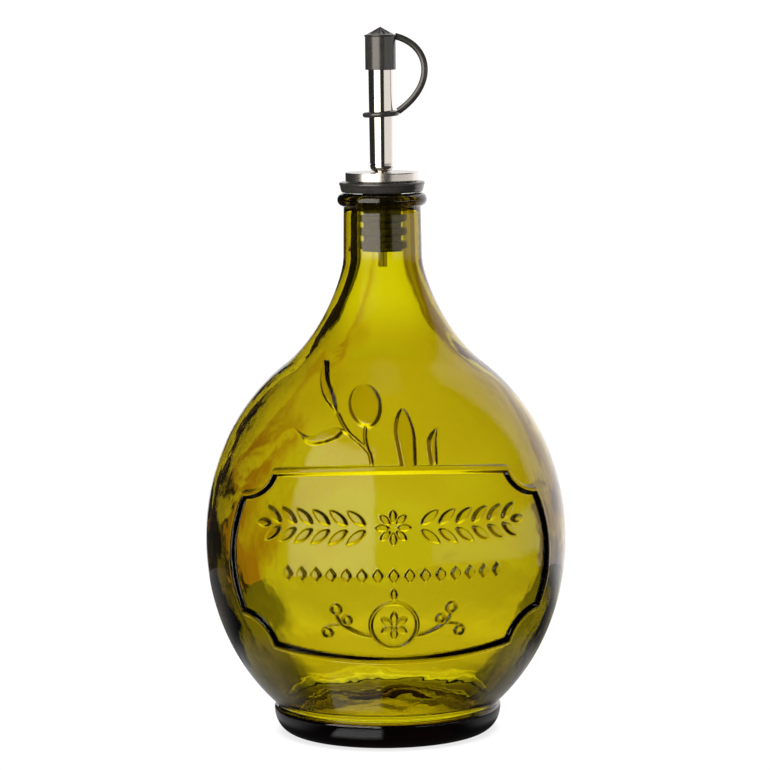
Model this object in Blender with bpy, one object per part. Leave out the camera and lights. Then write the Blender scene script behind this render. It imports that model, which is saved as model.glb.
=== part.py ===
"""Round glass oil bottle with a steel pourer in its neck.

The bottle stands on the plane z = 0 with its axis on Z. The front, with the framed panel,
faces -Y. Lengths are given in millimetres and azimuths in degrees from the front, positive
towards +X. They become metres only where a mesh is made.
"""
from math import acos, asin, cos, degrees, pi, radians, sin, sqrt, tau

import bmesh
import bpy
from mathutils import Matrix, Vector

MM = 0.001
FIT_GAP = 0.3          # clearance between pieces that touch

# Belly of the bottle: a half ellipse turned about the axis
BELLY_RADIUS = 65.2
BELLY_HALF_HEIGHT = 75.8
BELLY_Z = 70.45        # height of the widest ring
SHOULDER_Z = 133.6     # the belly gives way to the hollow shoulder here
SHOULDER_PULL = 18.7   # how far the shoulder follows the belly's slope
NECK_PULL = 5.3        # how far it runs in line with the neck

# Neck, lip and mouth
NECK_Z = 172.1
NECK_RADIUS = 14.16
NECK_TOP_RADIUS = 13.9
LIP_BOTTOM_Z = 190.6
MOUTH_Z = 195.4
LIP_RADIUS = 16.15
BORE_RADIUS = 9.25

# Foot ring and base
FOOT_RADIUS = 41.15
FOOT_BULGE_Z = 8.85    # the foot is widest here
CREASE_RADIUS = 39.43  # where the belly meets the foot
CONTACT_OUTER_RADIUS = 34.1
CONTACT_INNER_RADIUS = 31.5
PUNT_Z = 4.4           # the underside is hollowed by this much
FLOOR_Z = 8.4          # inside, at the centre
BELLY_WALL = 4.0

# Pourer
PLUG_BOTTOM_Z = 174.6
PLUG_CORE_RADIUS = 8.0
FIN_THICKNESS = 2.8
FIN_PITCH = 4.9
TOP_FIN_Z = 186.6
FIN_COUNT = 3
FLANGE_TOP_Z = 199.3
FLANGE_RADIUS = 15.4
DISC_RADIUS = 13.1
DISC_TOP_Z = 202.8
SHANK_RADIUS = 2.6     # the part of the spout that sits in the stopper
SHANK_BOTTOM_Z = 190.6
SPOUT_FOOT_RADIUS = 3.0
SPOUT_GROOVE_Z = 205.6
SPOUT_RADIUS_LOW = 4.2
SPOUT_RADIUS_TOP = 4.5
SPOUT_TOP_Z = 250.5
BREATHER_RADIUS = 1.6
BREATHER_BOTTOM_Z = 168.6
BREATHER_TOP_Z = 182.0

# Cap with its strap and ring
CAP_BOTTOM_Z = 239.3
CAP_RADIUS = 5.5
CAP_BRIM_RADIUS = 5.8
CAP_BRIM_Z = 251.7
CAP_APEX_Z = 254.6
CONE_RADIUS = 4.7      # the cap's top is a low cone inside the brim
STRAP_THICKNESS = 1.5
STRAP_WIDTH = 2.4
RING_Z = 223.5
RING_SECTION = 0.95
RING_CENTRE_RADIUS = 5.7
RING_TILT = 3.0

# Raised work on the glass
RELIEF_ROOT = 1.3      # how deep each raised piece is rooted in the wall
FRAME_WIDTH = 3.2
FRAME_HEIGHT = 1.1
LINE_WIDTH = 1.5
LINE_HEIGHT = 0.8

# Framed panel, as azimuths and heights
PANEL_TOP_Z = 103.0
PANEL_CORNER = (42.4, 100.7)
PANEL_CUSP = (54.2, 92.2)
PANEL_SIDE = 57.9
PANEL_LOW_CUSP = (54.4, 50.6)
PANEL_LOW_CORNER = (42.8, 39.8)
PANEL_BOTTOM_Z = 36.2

# Upper row of the panel: rosette and laurel, in mm along the glass from its middle
GARLAND_Z = 83.6
PETAL_COUNT = 8
PETAL_START = 1.6
PETAL_END = 6.4
PETAL_HALF_WIDTH = 1.5
LAUREL_START = 9.6
LAUREL_PITCH = 6.3
LAUREL_PAIRS = 6
LAUREL_LENGTH = 8.8
LAUREL_HALF_WIDTH = 1.7
LAUREL_LEAN = 38.0       # degrees away from the row
LAUREL_RISE = 0.7        # how far from the row's middle each leaf starts
LAUREL_END_BACK = 2.0    # the last leaf starts before the last pair's place
LAUREL_END_AHEAD = 5.0

# Lower row of the panel
LOZENGE_Z = 67.0
LOZENGE_HALF_HEIGHT = 3.1
LOZENGE_HALF_WIDTH = 1.9
LOZENGE_PITCH = 5.5
LOZENGES_EACH_SIDE = 7

# Medallion and scrolls; the paths are (azimuth in degrees, z) for the right side
MEDAL_CENTRE = (0.0, 49.3)
MEDAL_RADIUS = 8.1
MEDAL_LINE_HALF_WIDTH = 0.85
MEDAL_PETAL_COUNT = 6
MEDAL_PETAL_START = 0.8
MEDAL_PETAL_END = 5.2
MEDAL_PETAL_HALF_WIDTH = 1.4
MEDAL_DROP_FROM = (0.0, 58.6)
MEDAL_DROP_TO = (0.0, 62.8)
MEDAL_DROP_HALF_WIDTH = 1.2
SCROLL_STEM = [(7.3, 45.2), (10.0, 45.8), (13.2, 47.2), (16.0, 49.0), (17.6, 51.0), (18.4, 53.2)]
SCROLL_STEM_HALF_WIDTH = 1.25
SCROLL_STEM_TAPER = 0.75
SCROLL_BRANCH = [(15.0, 48.6), (18.0, 49.2), (21.0, 48.6)]
SCROLL_BRANCH_HALF_WIDTH = 0.55
CURLS = [((18.3, 55.0), 1.7), ((14.9, 51.2), 1.4), ((21.8, 46.4), 1.6)]
CURL_HALF_WIDTH = 0.6

# Sprig above the panel; each leaf is base, tip, half width, height, bend, steps
SPRIG_LEAVES = {
    "leaf_far": ((-21.4, 120.5), (-41.9, 136.3), 2.3, 1.0, -1.6, 8),
    "leaf_low": ((-18.7, 115.7), (-36.0, 114.6), 2.9, 1.0, -0.8, 8),
    "leaf_tall": ((4.5, 106.0), (5.5, 123.3), 3.7, 1.0, 0.0, 8),
    "leaf_small": ((14.7, 106.0), (17.9, 116.8), 2.4, 0.9, -1.0, 6),
}
SPRIG_STEMS = {
    "stem_main": [(-6.9, 105.0), (-7.4, 107.5), (-8.8, 110.5), (-9.6, 114.0), (-9.6, 117.8)],
    "stem_far": [(-8.6, 110.2), (-13.5, 113.0), (-18.0, 117.0), (-21.6, 121.0)],
    "stem_low": [(-7.6, 108.4), (-11.0, 111.4), (-15.2, 114.4), (-19.4, 115.8)],
}
OLIVE_STALK_END = (-8.4, 117.6)
OLIVE_TIP = (-12.0, 129.6)
OLIVE_HALF_WIDTH = 5.7
OLIVE_HEIGHT = 2.0
OLIVE_STEPS = 10

SIDES_GLASS = 50
SIDES_RUBBER = 28
SIDES_STEEL = 24
SIDES_SMALL = 12


def cubic(p0, p1, p2, p3, t):
    """Point at t on the cubic curve with these four control points."""
    s = 1.0 - t
    return p0 * s ** 3 + p1 * (3.0 * s * s * t) + p2 * (3.0 * s * t * t) + p3 * t ** 3


def belly_radius(z):
    """Outer radius of the belly at height z."""
    return BELLY_RADIUS * sqrt(1.0 - ((z - BELLY_Z) / BELLY_HALF_HEIGHT) ** 2)


def shoulder_point(t):
    """Outer shoulder from the belly, t = 0, to the neck, t = 1, as (radius, z)."""
    start = Vector((belly_radius(SHOULDER_Z), SHOULDER_Z))
    lean = (BELLY_RADIUS / BELLY_HALF_HEIGHT) ** 2 * (SHOULDER_Z - BELLY_Z) / start.x
    along_belly = Vector((-lean, 1.0)).normalized()
    end = Vector((NECK_RADIUS, NECK_Z))
    up = Vector((0.0, 1.0))
    return cubic(start, start + along_belly * SHOULDER_PULL, end - up * NECK_PULL, end, t)


def glass_radius(z):
    """Outer radius of belly, shoulder or neck at height z."""
    if z <= SHOULDER_Z:
        return belly_radius(z)
    if z >= NECK_Z:
        share = (z - NECK_Z) / (LIP_BOTTOM_Z - NECK_Z)
        return NECK_RADIUS + (NECK_TOP_RADIUS - NECK_RADIUS) * share
    low, high = 0.0, 1.0
    for _ in range(30):
        middle = (low + high) / 2.0
        if shoulder_point(middle).y < z:
            low = middle
        else:
            high = middle
    return shoulder_point(low).x


def glass_normal(z):
    """Outward direction of the glass at height z, as (radial, vertical)."""
    step = 0.25
    slope = (glass_radius(z + step) - glass_radius(z - step)) / (2.0 * step)
    return Vector((1.0, -slope)).normalized()


def on_glass(azimuth, z, height=0.0):
    """Point that stands `height` proud of the glass."""
    out = glass_normal(z)
    radius = glass_radius(z) + out.x * height
    angle = radians(azimuth)
    return Vector((radius * sin(angle), -radius * cos(angle), z + out.y * height))


def arc_azimuth(length, z):
    """Azimuth covered by a length measured round the bottle at height z."""
    return degrees(length / glass_radius(z))


def material(name, colour, roughness, metallic=0.0, transmission=0.0):
    """Plain surface with the piece's colour."""
    made = bpy.data.materials.new(name)
    made.use_nodes = True
    shader = made.node_tree.nodes["Principled BSDF"]
    shader.inputs["Base Color"].default_value = (*colour, 1.0)
    shader.inputs["Roughness"].default_value = roughness
    shader.inputs["Metallic"].default_value = metallic
    shader.inputs["Transmission Weight"].default_value = transmission
    return made


def finish(name, mesh_data, surface, collection=None):
    """Turn a bmesh into a named, smooth shaded object with its faces outwards."""
    bmesh.ops.recalc_face_normals(mesh_data, faces=mesh_data.faces[:])
    mesh = bpy.data.meshes.new(name)
    mesh_data.to_mesh(mesh)
    mesh_data.free()
    mesh.shade_smooth()
    mesh.set_sharp_from_angle(angle=radians(35.0))
    if surface:
        mesh.materials.append(surface)
    made = bpy.data.objects.new(name, mesh)
    (collection or bpy.context.scene.collection).objects.link(made)
    return made


def turned(name, outline, sides, surface, collection=None):
    """Solid of revolution about Z. Outline points are (radius, z); a radius of 0 is on the axis.

    An outline that starts and ends on the axis is closed there. Any other one is a loop.
    """
    made = bmesh.new()
    rings = []
    for radius, z in outline:
        if radius == 0.0:
            rings.append([made.verts.new((0.0, 0.0, z * MM))])
            continue
        angles = [tau * k / sides for k in range(sides)]
        rings.append([made.verts.new((radius * cos(a) * MM, radius * sin(a) * MM, z * MM)) for a in angles])
    pairs = list(zip(rings, rings[1:]))
    if outline[0][0] != 0.0:
        pairs.append((rings[-1], rings[0]))
    for first, second in pairs:
        for k in range(sides):
            j = (k + 1) % sides
            near = [first[k % len(first)], first[j % len(first)]]
            far = [second[j % len(second)], second[k % len(second)]]
            made.faces.new(list(dict.fromkeys(near + far)))
    return finish(name, made, surface, collection)


def swept(name, stations, surface, collection, closed=False):
    """Loft through a row of equal rings of points, with end caps unless it is closed."""
    made = bmesh.new()
    rings = [[made.verts.new(point * MM) for point in station] for station in stations]
    pairs = list(zip(rings, rings[1:]))
    if closed:
        pairs.append((rings[-1], rings[0]))
    else:
        made.faces.new(rings[0])
        made.faces.new(rings[-1])
    for first, second in pairs:
        for k in range(len(first)):
            j = (k + 1) % len(first)
            made.faces.new((first[k], first[j], second[j], second[k]))
    return finish(name, made, surface, collection)


def ridge(name, path, half_width, height, collection, closed=False, rounded=True):
    """Raised line on the glass along a path of (azimuth, z) points.

    half_width is a number, or a function of the share 0..1 of the path. The ridge stands
    lower where it is narrower.
    """
    half = half_width if callable(half_width) else (lambda share: half_width)
    widest = max(half(k / (len(path) - 1)) for k in range(len(path)))
    profile = [(-1.0, None), (-0.75, 0.7), (0.0, 1.0), (0.75, 0.7), (1.0, None)]
    if not rounded:
        profile = [(-1.0, None), (0.0, 1.0), (1.0, None)]
    stations = []
    for index, (azimuth, z) in enumerate(path):
        before = path[index - 1] if closed or index else path[index]
        after = path[(index + 1) % len(path)] if closed or index + 1 < len(path) else path[index]
        here = on_glass(azimuth, z)
        out = (on_glass(azimuth, z, 1.0) - here).normalized()
        along = (on_glass(*after) - on_glass(*before)).normalized()
        across = out.cross(along).normalized()
        width = half(index / (len(path) - 1))
        rise = height * min(1.0, 1.4 * width / widest)
        station = []
        for side, share in profile:
            level = -RELIEF_ROOT if share is None else rise * share
            station.append(here + across * (side * width) + out * level)
        stations.append(station)
    return swept(name, stations, None, collection, closed)


def leaf(name, base, tip, half_width, height, collection, bend=0.0, steps=7, rounded=True):
    """Pointed leaf from base to tip, both (azimuth, z). bend moves its middle sideways, in mm."""
    points = []
    for k in range(steps + 1):
        share = k / steps
        azimuth = base[0] + (tip[0] - base[0]) * share
        z = base[1] + (tip[1] - base[1]) * share
        bow = bend * 4.0 * share * (1.0 - share)
        run = Vector(((tip[0] - base[0]) * radians(glass_radius(z)), tip[1] - base[1])).normalized()
        points.append((azimuth - arc_azimuth(run.y * bow, z), z + run.x * bow))
    return ridge(name, points, lambda share: max(0.25, half_width * sin(pi * share ** 0.85) ** 0.8),
                 height, collection, rounded=rounded)


def circle_path(centre, radius, count, start=0.0, turn=360.0):
    """Points on a circle of this radius round (azimuth, z), laid on the glass."""
    points = []
    for k in range(count):
        angle = radians(start + turn * k / (count if turn == 360.0 else count - 1))
        z = centre[1] + radius * sin(angle)
        points.append((centre[0] + arc_azimuth(radius * cos(angle), centre[1]), z))
    return points


def bottle_outline():
    """Closed outline of the glass, from under the base round to the floor inside."""
    underside = [(0.0, PUNT_Z), (14.0, PUNT_Z - 0.5), (25.0, PUNT_Z - 2.1), (CONTACT_INNER_RADIUS, 0.0)]
    foot = []
    for k in range(6):
        angle = pi / 2.0 * k / 5
        reach = CONTACT_OUTER_RADIUS + (FOOT_RADIUS - CONTACT_OUTER_RADIUS) * sin(angle)
        foot.append((reach, FOOT_BULGE_Z * (1.0 - cos(angle))))
    crease_turn = -acos(CREASE_RADIUS / BELLY_RADIUS)
    shoulder_turn = asin((SHOULDER_Z - BELLY_Z) / BELLY_HALF_HEIGHT)
    belly, belly_inside = [], []
    belly_rows = 11
    for k in range(belly_rows + 1):
        turn = crease_turn + (shoulder_turn - crease_turn) * k / belly_rows
        z = BELLY_Z + BELLY_HALF_HEIGHT * sin(turn)
        belly.append((belly_radius(z), z))
        belly_inside.append(inside_of(z))
    shoulder, shoulder_inside = [], []
    shoulder_rows = 6
    for k in range(1, shoulder_rows + 1):
        point = shoulder_point(k / shoulder_rows)
        shoulder.append((point.x, point.y))
        shoulder_inside.append(inside_of(point.y))
    lip = [(NECK_TOP_RADIUS, LIP_BOTTOM_Z - 0.3)]
    lip_rise = (MOUTH_Z - LIP_BOTTOM_Z) / 2.0
    for k in range(7):
        angle = -pi / 2.0 + pi * k / 6
        reach = LIP_RADIUS - lip_rise * (1.0 - cos(angle))
        lip.append((reach, LIP_BOTTOM_Z + lip_rise * (1.0 + sin(angle))))
    mouth = [(BORE_RADIUS + 0.7, MOUTH_Z), (BORE_RADIUS, MOUTH_Z - 0.7)]
    floor = [(33.2, FLOOR_Z + 1.9), (28.5, FLOOR_Z), (20.0, FLOOR_Z - 0.7), (10.0, FLOOR_Z - 0.3),
             (0.0, FLOOR_Z)]
    inside = mouth + shoulder_inside[::-1] + belly_inside[::-1] + floor
    return underside + foot + belly + shoulder + lip + inside


def inside_of(z):
    """Inner surface across the wall from the outer point at height z, as (radius, z)."""
    share = min(1.0, max(0.0, (z - SHOULDER_Z) / (NECK_Z - SHOULDER_Z)))
    wall = BELLY_WALL + (NECK_RADIUS - BORE_RADIUS - BELLY_WALL) * share
    out = glass_normal(z) if z > BELLY_Z - BELLY_HALF_HEIGHT + 1.0 else Vector((1.0, 0.0))
    return (glass_radius(z) - out.x * wall, z - out.y * wall)


def panel_path():
    """Loop of the panel's frame, from the middle of its top clockwise."""
    half = []
    corner_az, corner_z = PANEL_CORNER
    cusp_az, cusp_z = PANEL_CUSP
    low_az, low_z = PANEL_LOW_CUSP
    foot_az, foot_z = PANEL_LOW_CORNER
    for k in range(8):
        share = k / 8
        half.append((corner_az * share, PANEL_TOP_Z - (PANEL_TOP_Z - corner_z) * share ** 2))
    for k in range(6):
        angle = pi / 2.0 * k / 5
        half.append((cusp_az - (cusp_az - corner_az) * cos(angle),
                     corner_z - (corner_z - cusp_z) * sin(angle)))
    for k in range(1, 8):
        share = k / 8
        bulge = PANEL_SIDE - (cusp_az + low_az) / 2.0
        half.append((cusp_az + (low_az - cusp_az) * share + bulge * 4.0 * share * (1.0 - share),
                     cusp_z + (low_z - cusp_z) * share))
    for k in range(6):
        angle = pi / 2.0 * k / 5
        half.append((low_az - (low_az - foot_az) * sin(angle), foot_z + (low_z - foot_z) * cos(angle)))
    for k in range(1, 9):
        share = 1.0 - k / 8
        half.append((foot_az * share, PANEL_BOTTOM_Z + (foot_z - PANEL_BOTTOM_Z) * share ** 2))
    mirrored = [(-azimuth, z) for azimuth, z in half[1:-1]]
    return half + mirrored[::-1]


def beside(reach, z):
    """Azimuth and height of a point so many mm from the middle of the panel, along the glass."""
    return (arc_azimuth(reach, z), z)


def rosette(name, centre_z, count, start, end, half_width, first_turn, collection):
    """Ring of petals round the middle of the panel at centre_z."""
    for k in range(count):
        angle = tau * k / count + first_turn
        base = (arc_azimuth(start * cos(angle), centre_z), centre_z + start * sin(angle))
        tip = (arc_azimuth(end * cos(angle), centre_z), centre_z + end * sin(angle))
        leaf(f"{name}_{k}", base, tip, half_width, LINE_HEIGHT, collection, steps=3, rounded=False)


def garland(collection):
    """Upper row of the panel: a rosette with a laurel branch on each side."""
    rosette("petal", GARLAND_Z, PETAL_COUNT, PETAL_START, PETAL_END, PETAL_HALF_WIDTH, 0.0, collection)
    along = LAUREL_LENGTH * cos(radians(LAUREL_LEAN))
    away = LAUREL_RISE + LAUREL_LENGTH * sin(radians(LAUREL_LEAN))
    for side in (-1, 1):
        for k in range(LAUREL_PAIRS):
            start = LAUREL_START + LAUREL_PITCH * k
            for up in (-1, 1):
                base = (side * arc_azimuth(start, GARLAND_Z), GARLAND_Z + up * LAUREL_RISE)
                tip = (side * arc_azimuth(start + along, GARLAND_Z), GARLAND_Z + up * away)
                leaf(f"laurel_{side}_{k}_{up}", base, tip, LAUREL_HALF_WIDTH, LINE_HEIGHT, collection,
                     steps=3, rounded=False)
        end = LAUREL_START + LAUREL_PITCH * LAUREL_PAIRS
        leaf(f"laurel_end_{side}", beside(side * (end - LAUREL_END_BACK), GARLAND_Z),
             beside(side * (end + LAUREL_END_AHEAD), GARLAND_Z), LAUREL_HALF_WIDTH, LINE_HEIGHT,
             collection, steps=3, rounded=False)


def lozenge_row(collection):
    """Lower row of the panel: a band of upright lozenges."""
    for k in range(-LOZENGES_EACH_SIDE, LOZENGES_EACH_SIDE + 1):
        azimuth = arc_azimuth(LOZENGE_PITCH * k, LOZENGE_Z)
        leaf(f"lozenge_{k}", (azimuth, LOZENGE_Z - LOZENGE_HALF_HEIGHT),
             (azimuth, LOZENGE_Z + LOZENGE_HALF_HEIGHT), LOZENGE_HALF_WIDTH, LINE_HEIGHT, collection,
             steps=2, rounded=False)


def scroll_half_width(share):
    """Half width of a scroll's stem, which is thickest in its middle."""
    return SCROLL_STEM_HALF_WIDTH - SCROLL_STEM_TAPER * abs(2.0 * share - 1.0)


def medallion(collection):
    """Ring with a small rosette in it, between two scrolls that fork into curls."""
    ring = circle_path(MEDAL_CENTRE, MEDAL_RADIUS, 20)
    ridge("medallion_ring", ring, MEDAL_LINE_HALF_WIDTH, LINE_HEIGHT, collection, closed=True)
    rosette("medal_petal", MEDAL_CENTRE[1], MEDAL_PETAL_COUNT, MEDAL_PETAL_START, MEDAL_PETAL_END,
            MEDAL_PETAL_HALF_WIDTH, pi / 2.0, collection)
    leaf("medal_drop", MEDAL_DROP_FROM, MEDAL_DROP_TO, MEDAL_DROP_HALF_WIDTH, LINE_HEIGHT, collection,
         steps=3, rounded=False)
    for side in (-1, 1):
        stem = [(side * azimuth, z) for azimuth, z in SCROLL_STEM]
        ridge(f"scroll_stem_{side}", stem, scroll_half_width, LINE_HEIGHT, collection)
        branch = [(side * azimuth, z) for azimuth, z in SCROLL_BRANCH]
        ridge(f"scroll_branch_{side}", branch, SCROLL_BRANCH_HALF_WIDTH, LINE_HEIGHT, collection)
        for k, (place, radius) in enumerate(CURLS):
            curl = circle_path((side * place[0], place[1]), radius, 8)
            ridge(f"curl_{side}_{k}", curl, CURL_HALF_WIDTH, LINE_HEIGHT, collection, closed=True,
                  rounded=False)


def olive_half_width(share):
    """Half width of the olive along its length: an egg with its blunt end at the stem."""
    return max(0.6, OLIVE_HALF_WIDTH * sqrt(max(0.0, 1.0 - (2.0 * share ** 1.15 - 1.0) ** 2)))


def olive_branch(collection):
    """Sprig above the panel: an olive, four leaves and the stems that join them."""
    for name, (base, tip, half_width, height, bend, steps) in SPRIG_LEAVES.items():
        leaf(name, base, tip, half_width, height, collection, bend=bend, steps=steps)
    fruit = []
    for k in range(OLIVE_STEPS + 1):
        share = k / OLIVE_STEPS
        azimuth = OLIVE_STALK_END[0] + (OLIVE_TIP[0] - OLIVE_STALK_END[0]) * share
        fruit.append((azimuth, OLIVE_STALK_END[1] + (OLIVE_TIP[1] - OLIVE_STALK_END[1]) * share))
    ridge("olive", fruit, olive_half_width, OLIVE_HEIGHT, collection)
    for name, path in SPRIG_STEMS.items():
        ridge(name, path, LINE_WIDTH / 2.0, LINE_HEIGHT, collection)


def make_bottle(glass):
    """Hollow glass body with everything that is moulded on it, as one solid."""
    bottle = turned("bottle", bottle_outline(), SIDES_GLASS, glass)
    relief = bpy.data.collections.new("relief")
    bpy.context.scene.collection.children.link(relief)
    ridge("frame", panel_path(), FRAME_WIDTH / 2.0, FRAME_HEIGHT, relief, closed=True)
    garland(relief)
    lozenge_row(relief)
    medallion(relief)
    olive_branch(relief)
    join_collection(bottle, relief)
    return bottle


def join_collection(body, collection):
    """Unite the body with every object of the collection, then remove those."""
    union = body.modifiers.new("union", "BOOLEAN")
    union.operation = "UNION"
    union.operand_type = "COLLECTION"
    union.collection = collection
    union.solver = "EXACT"
    graph = bpy.context.evaluated_depsgraph_get()
    joined = bpy.data.meshes.new_from_object(body.evaluated_get(graph))
    body.modifiers.remove(union)
    body.data = joined
    for piece in list(collection.objects):
        bpy.data.objects.remove(piece, do_unlink=True)
    bpy.data.collections.remove(collection)


def make_stopper(rubber):
    """Rubber plug with fins in the neck and a flange over the lip."""
    outline = [(0.0, BREATHER_TOP_Z + FIT_GAP), (BREATHER_RADIUS + FIT_GAP, BREATHER_TOP_Z + FIT_GAP),
               (BREATHER_RADIUS + FIT_GAP, PLUG_BOTTOM_Z), (PLUG_CORE_RADIUS - 0.6, PLUG_BOTTOM_Z)]
    fin_radius = BORE_RADIUS - FIT_GAP
    for k in reversed(range(FIN_COUNT)):
        middle = TOP_FIN_Z - FIN_PITCH * k
        half = FIN_THICKNESS / 2.0
        outline += [(PLUG_CORE_RADIUS, middle - half - 0.4), (fin_radius, middle - half + 0.5),
                    (fin_radius, middle + half - 0.2), (PLUG_CORE_RADIUS, middle + half)]
    under_flange = MOUTH_Z + FIT_GAP
    outline += [(PLUG_CORE_RADIUS + 0.4, under_flange), (12.6, under_flange), (13.6, under_flange + 0.4),
                (14.8, under_flange + 1.2), (FLANGE_RADIUS - 0.3, under_flange + 2.4),
                (FLANGE_RADIUS, FLANGE_TOP_Z - 0.2), (FLANGE_RADIUS - 0.2, FLANGE_TOP_Z),
                (SHANK_RADIUS + FIT_GAP, FLANGE_TOP_Z), (SHANK_RADIUS + FIT_GAP, SHANK_BOTTOM_Z - FIT_GAP),
                (0.0, SHANK_BOTTOM_Z - FIT_GAP)]
    return turned("stopper", outline, SIDES_RUBBER, rubber)


def make_disc(steel):
    """Steel washer between the flange and the spout."""
    bottom = FLANGE_TOP_Z + FIT_GAP
    hole = SHANK_RADIUS + FIT_GAP
    outline = [(hole, bottom), (DISC_RADIUS - 0.2, bottom), (DISC_RADIUS, bottom + 0.2),
               (DISC_RADIUS, DISC_TOP_Z - 0.3), (DISC_RADIUS - 0.3, DISC_TOP_Z), (hole, DISC_TOP_Z)]
    return turned("collar_disc", outline, SIDES_RUBBER, steel)


def spout_radius(z):
    """The tube widens a little towards its end."""
    share = (z - SPOUT_GROOVE_Z) / (SPOUT_TOP_Z - SPOUT_GROOVE_Z)
    return SPOUT_RADIUS_LOW + (SPOUT_RADIUS_TOP - SPOUT_RADIUS_LOW) * share


def make_spout(steel):
    """Steel spout: a shank in the stopper, a rounded foot, a groove and the tube."""
    foot_z = DISC_TOP_Z + FIT_GAP
    outline = [(0.0, SHANK_BOTTOM_Z), (SHANK_RADIUS, SHANK_BOTTOM_Z), (SHANK_RADIUS, foot_z),
               (SPOUT_FOOT_RADIUS, foot_z)]
    rise = SPOUT_GROOVE_Z - 0.2 - foot_z
    for k in range(1, 5):
        angle = pi / 2.0 * k / 4
        reach = SPOUT_FOOT_RADIUS + (SPOUT_RADIUS_LOW - SPOUT_FOOT_RADIUS) * sin(angle)
        outline.append((reach, foot_z + rise * (1.0 - cos(angle))))
    outline += [(SPOUT_RADIUS_LOW - 0.2, SPOUT_GROOVE_Z), (SPOUT_RADIUS_LOW, SPOUT_GROOVE_Z + 0.2),
                (spout_radius(RING_Z), RING_Z), (SPOUT_RADIUS_TOP, SPOUT_TOP_Z - 0.3),
                (SPOUT_RADIUS_TOP - 0.3, SPOUT_TOP_Z), (0.0, SPOUT_TOP_Z)]
    return turned("spout", outline, SIDES_STEEL, steel)


def make_breather(steel):
    """Thin air tube that hangs from the plug into the neck."""
    outline = [(0.0, BREATHER_TOP_Z), (BREATHER_RADIUS, BREATHER_TOP_Z),
               (BREATHER_RADIUS, BREATHER_BOTTOM_Z), (0.0, BREATHER_BOTTOM_Z)]
    return turned("breather_tube", outline, SIDES_SMALL, steel)


def strap_stations():
    """Rings of the strap from the cap's brim out and back down to the ring."""
    start = Vector((CAP_RADIUS - 0.3, 0.0, CAP_BRIM_Z - 0.5))
    end = Vector((RING_CENTRE_RADIUS + 0.4, 0.0, RING_Z + 0.9))
    leave = start + Vector((12.9, 0.0, -3.2))
    arrive = end + Vector((13.9, 0.0, 9.3))
    count = 17
    half = (STRAP_THICKNESS / 2.0, STRAP_WIDTH / 2.0)
    corners = [(-1.0, -0.6), (-0.6, -1.0), (0.6, -1.0), (1.0, -0.6),
               (1.0, 0.6), (0.6, 1.0), (-0.6, 1.0), (-1.0, 0.6)]
    stations = []
    for k in range(count):
        t = k / (count - 1)
        here = cubic(start, leave, arrive, end, t)
        ahead = cubic(start, leave, arrive, end, min(1.0, t + 0.01))
        behind = cubic(start, leave, arrive, end, max(0.0, t - 0.01))
        along = (ahead - behind).normalized()
        across = Vector((0.0, 1.0, 0.0))
        out = across.cross(along).normalized()
        stations.append([here + out * (a * half[0]) + across * (b * half[1]) for a, b in corners])
    return stations


def make_cap(rubber):
    """Rubber cap, strap and ring, moulded as one piece."""
    bore = SPOUT_RADIUS_TOP + FIT_GAP
    roof = SPOUT_TOP_Z + FIT_GAP
    outline = [(0.0, roof), (bore - 0.3, roof), (bore, roof - 0.3), (bore, CAP_BOTTOM_Z),
               (CAP_RADIUS, CAP_BOTTOM_Z), (CAP_RADIUS, CAP_BRIM_Z - 0.5),
               (CAP_BRIM_RADIUS, CAP_BRIM_Z - 0.4), (CAP_BRIM_RADIUS, CAP_BRIM_Z),
               (CONE_RADIUS, CAP_BRIM_Z + 0.3), (0.0, CAP_APEX_Z)]
    cap = turned("cap_tether", outline, SIDES_STEEL, rubber)
    extras = bpy.data.collections.new("cap_extras")
    bpy.context.scene.collection.children.link(extras)
    swept("strap", strap_stations(), None, extras)
    turns = [tau * k / 8 for k in range(8)]
    section = [(RING_CENTRE_RADIUS + RING_SECTION * cos(turn), RING_SECTION * sin(turn)) for turn in turns]
    ring = turned("ring", section, SIDES_STEEL, None, extras)
    tilt = Matrix.Rotation(-radians(RING_TILT), 4, "Y")
    ring.data.transform(Matrix.Translation((0.0, 0.0, RING_Z * MM)) @ tilt)
    join_collection(cap, extras)
    return cap


for old in list(bpy.data.objects):
    bpy.data.objects.remove(old, do_unlink=True)

GLASS = material("green_glass", (0.56, 0.50, 0.03), 0.05, transmission=1.0)
RUBBER = material("black_rubber", (0.02, 0.02, 0.02), 0.45)
STEEL = material("brushed_steel", (0.72, 0.70, 0.66), 0.25, metallic=1.0)

make_bottle(GLASS)
make_stopper(RUBBER)
make_disc(STEEL)
make_spout(STEEL)
make_breather(STEEL)
make_cap(RUBBER)
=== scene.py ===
# %% [markdown]
# # An oil bottle with a pourer
# This lesson dresses a round, moulded glass bottle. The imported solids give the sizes, and each
# piece here is a finer version of one of them: the glass with its soft relief, the rubber
# stopper, the steel pourer and the tethered cap. We begin with the imports and the frame.

# %% Load the frame
from math import acos, asin, atan2, ceil, cos, degrees, pi, radians, sin, sqrt, tau

import bmesh
import bpy
import numpy as np
from mathutils import Matrix, Vector
from mathutils.geometry import delaunay_2d_cdt


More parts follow.
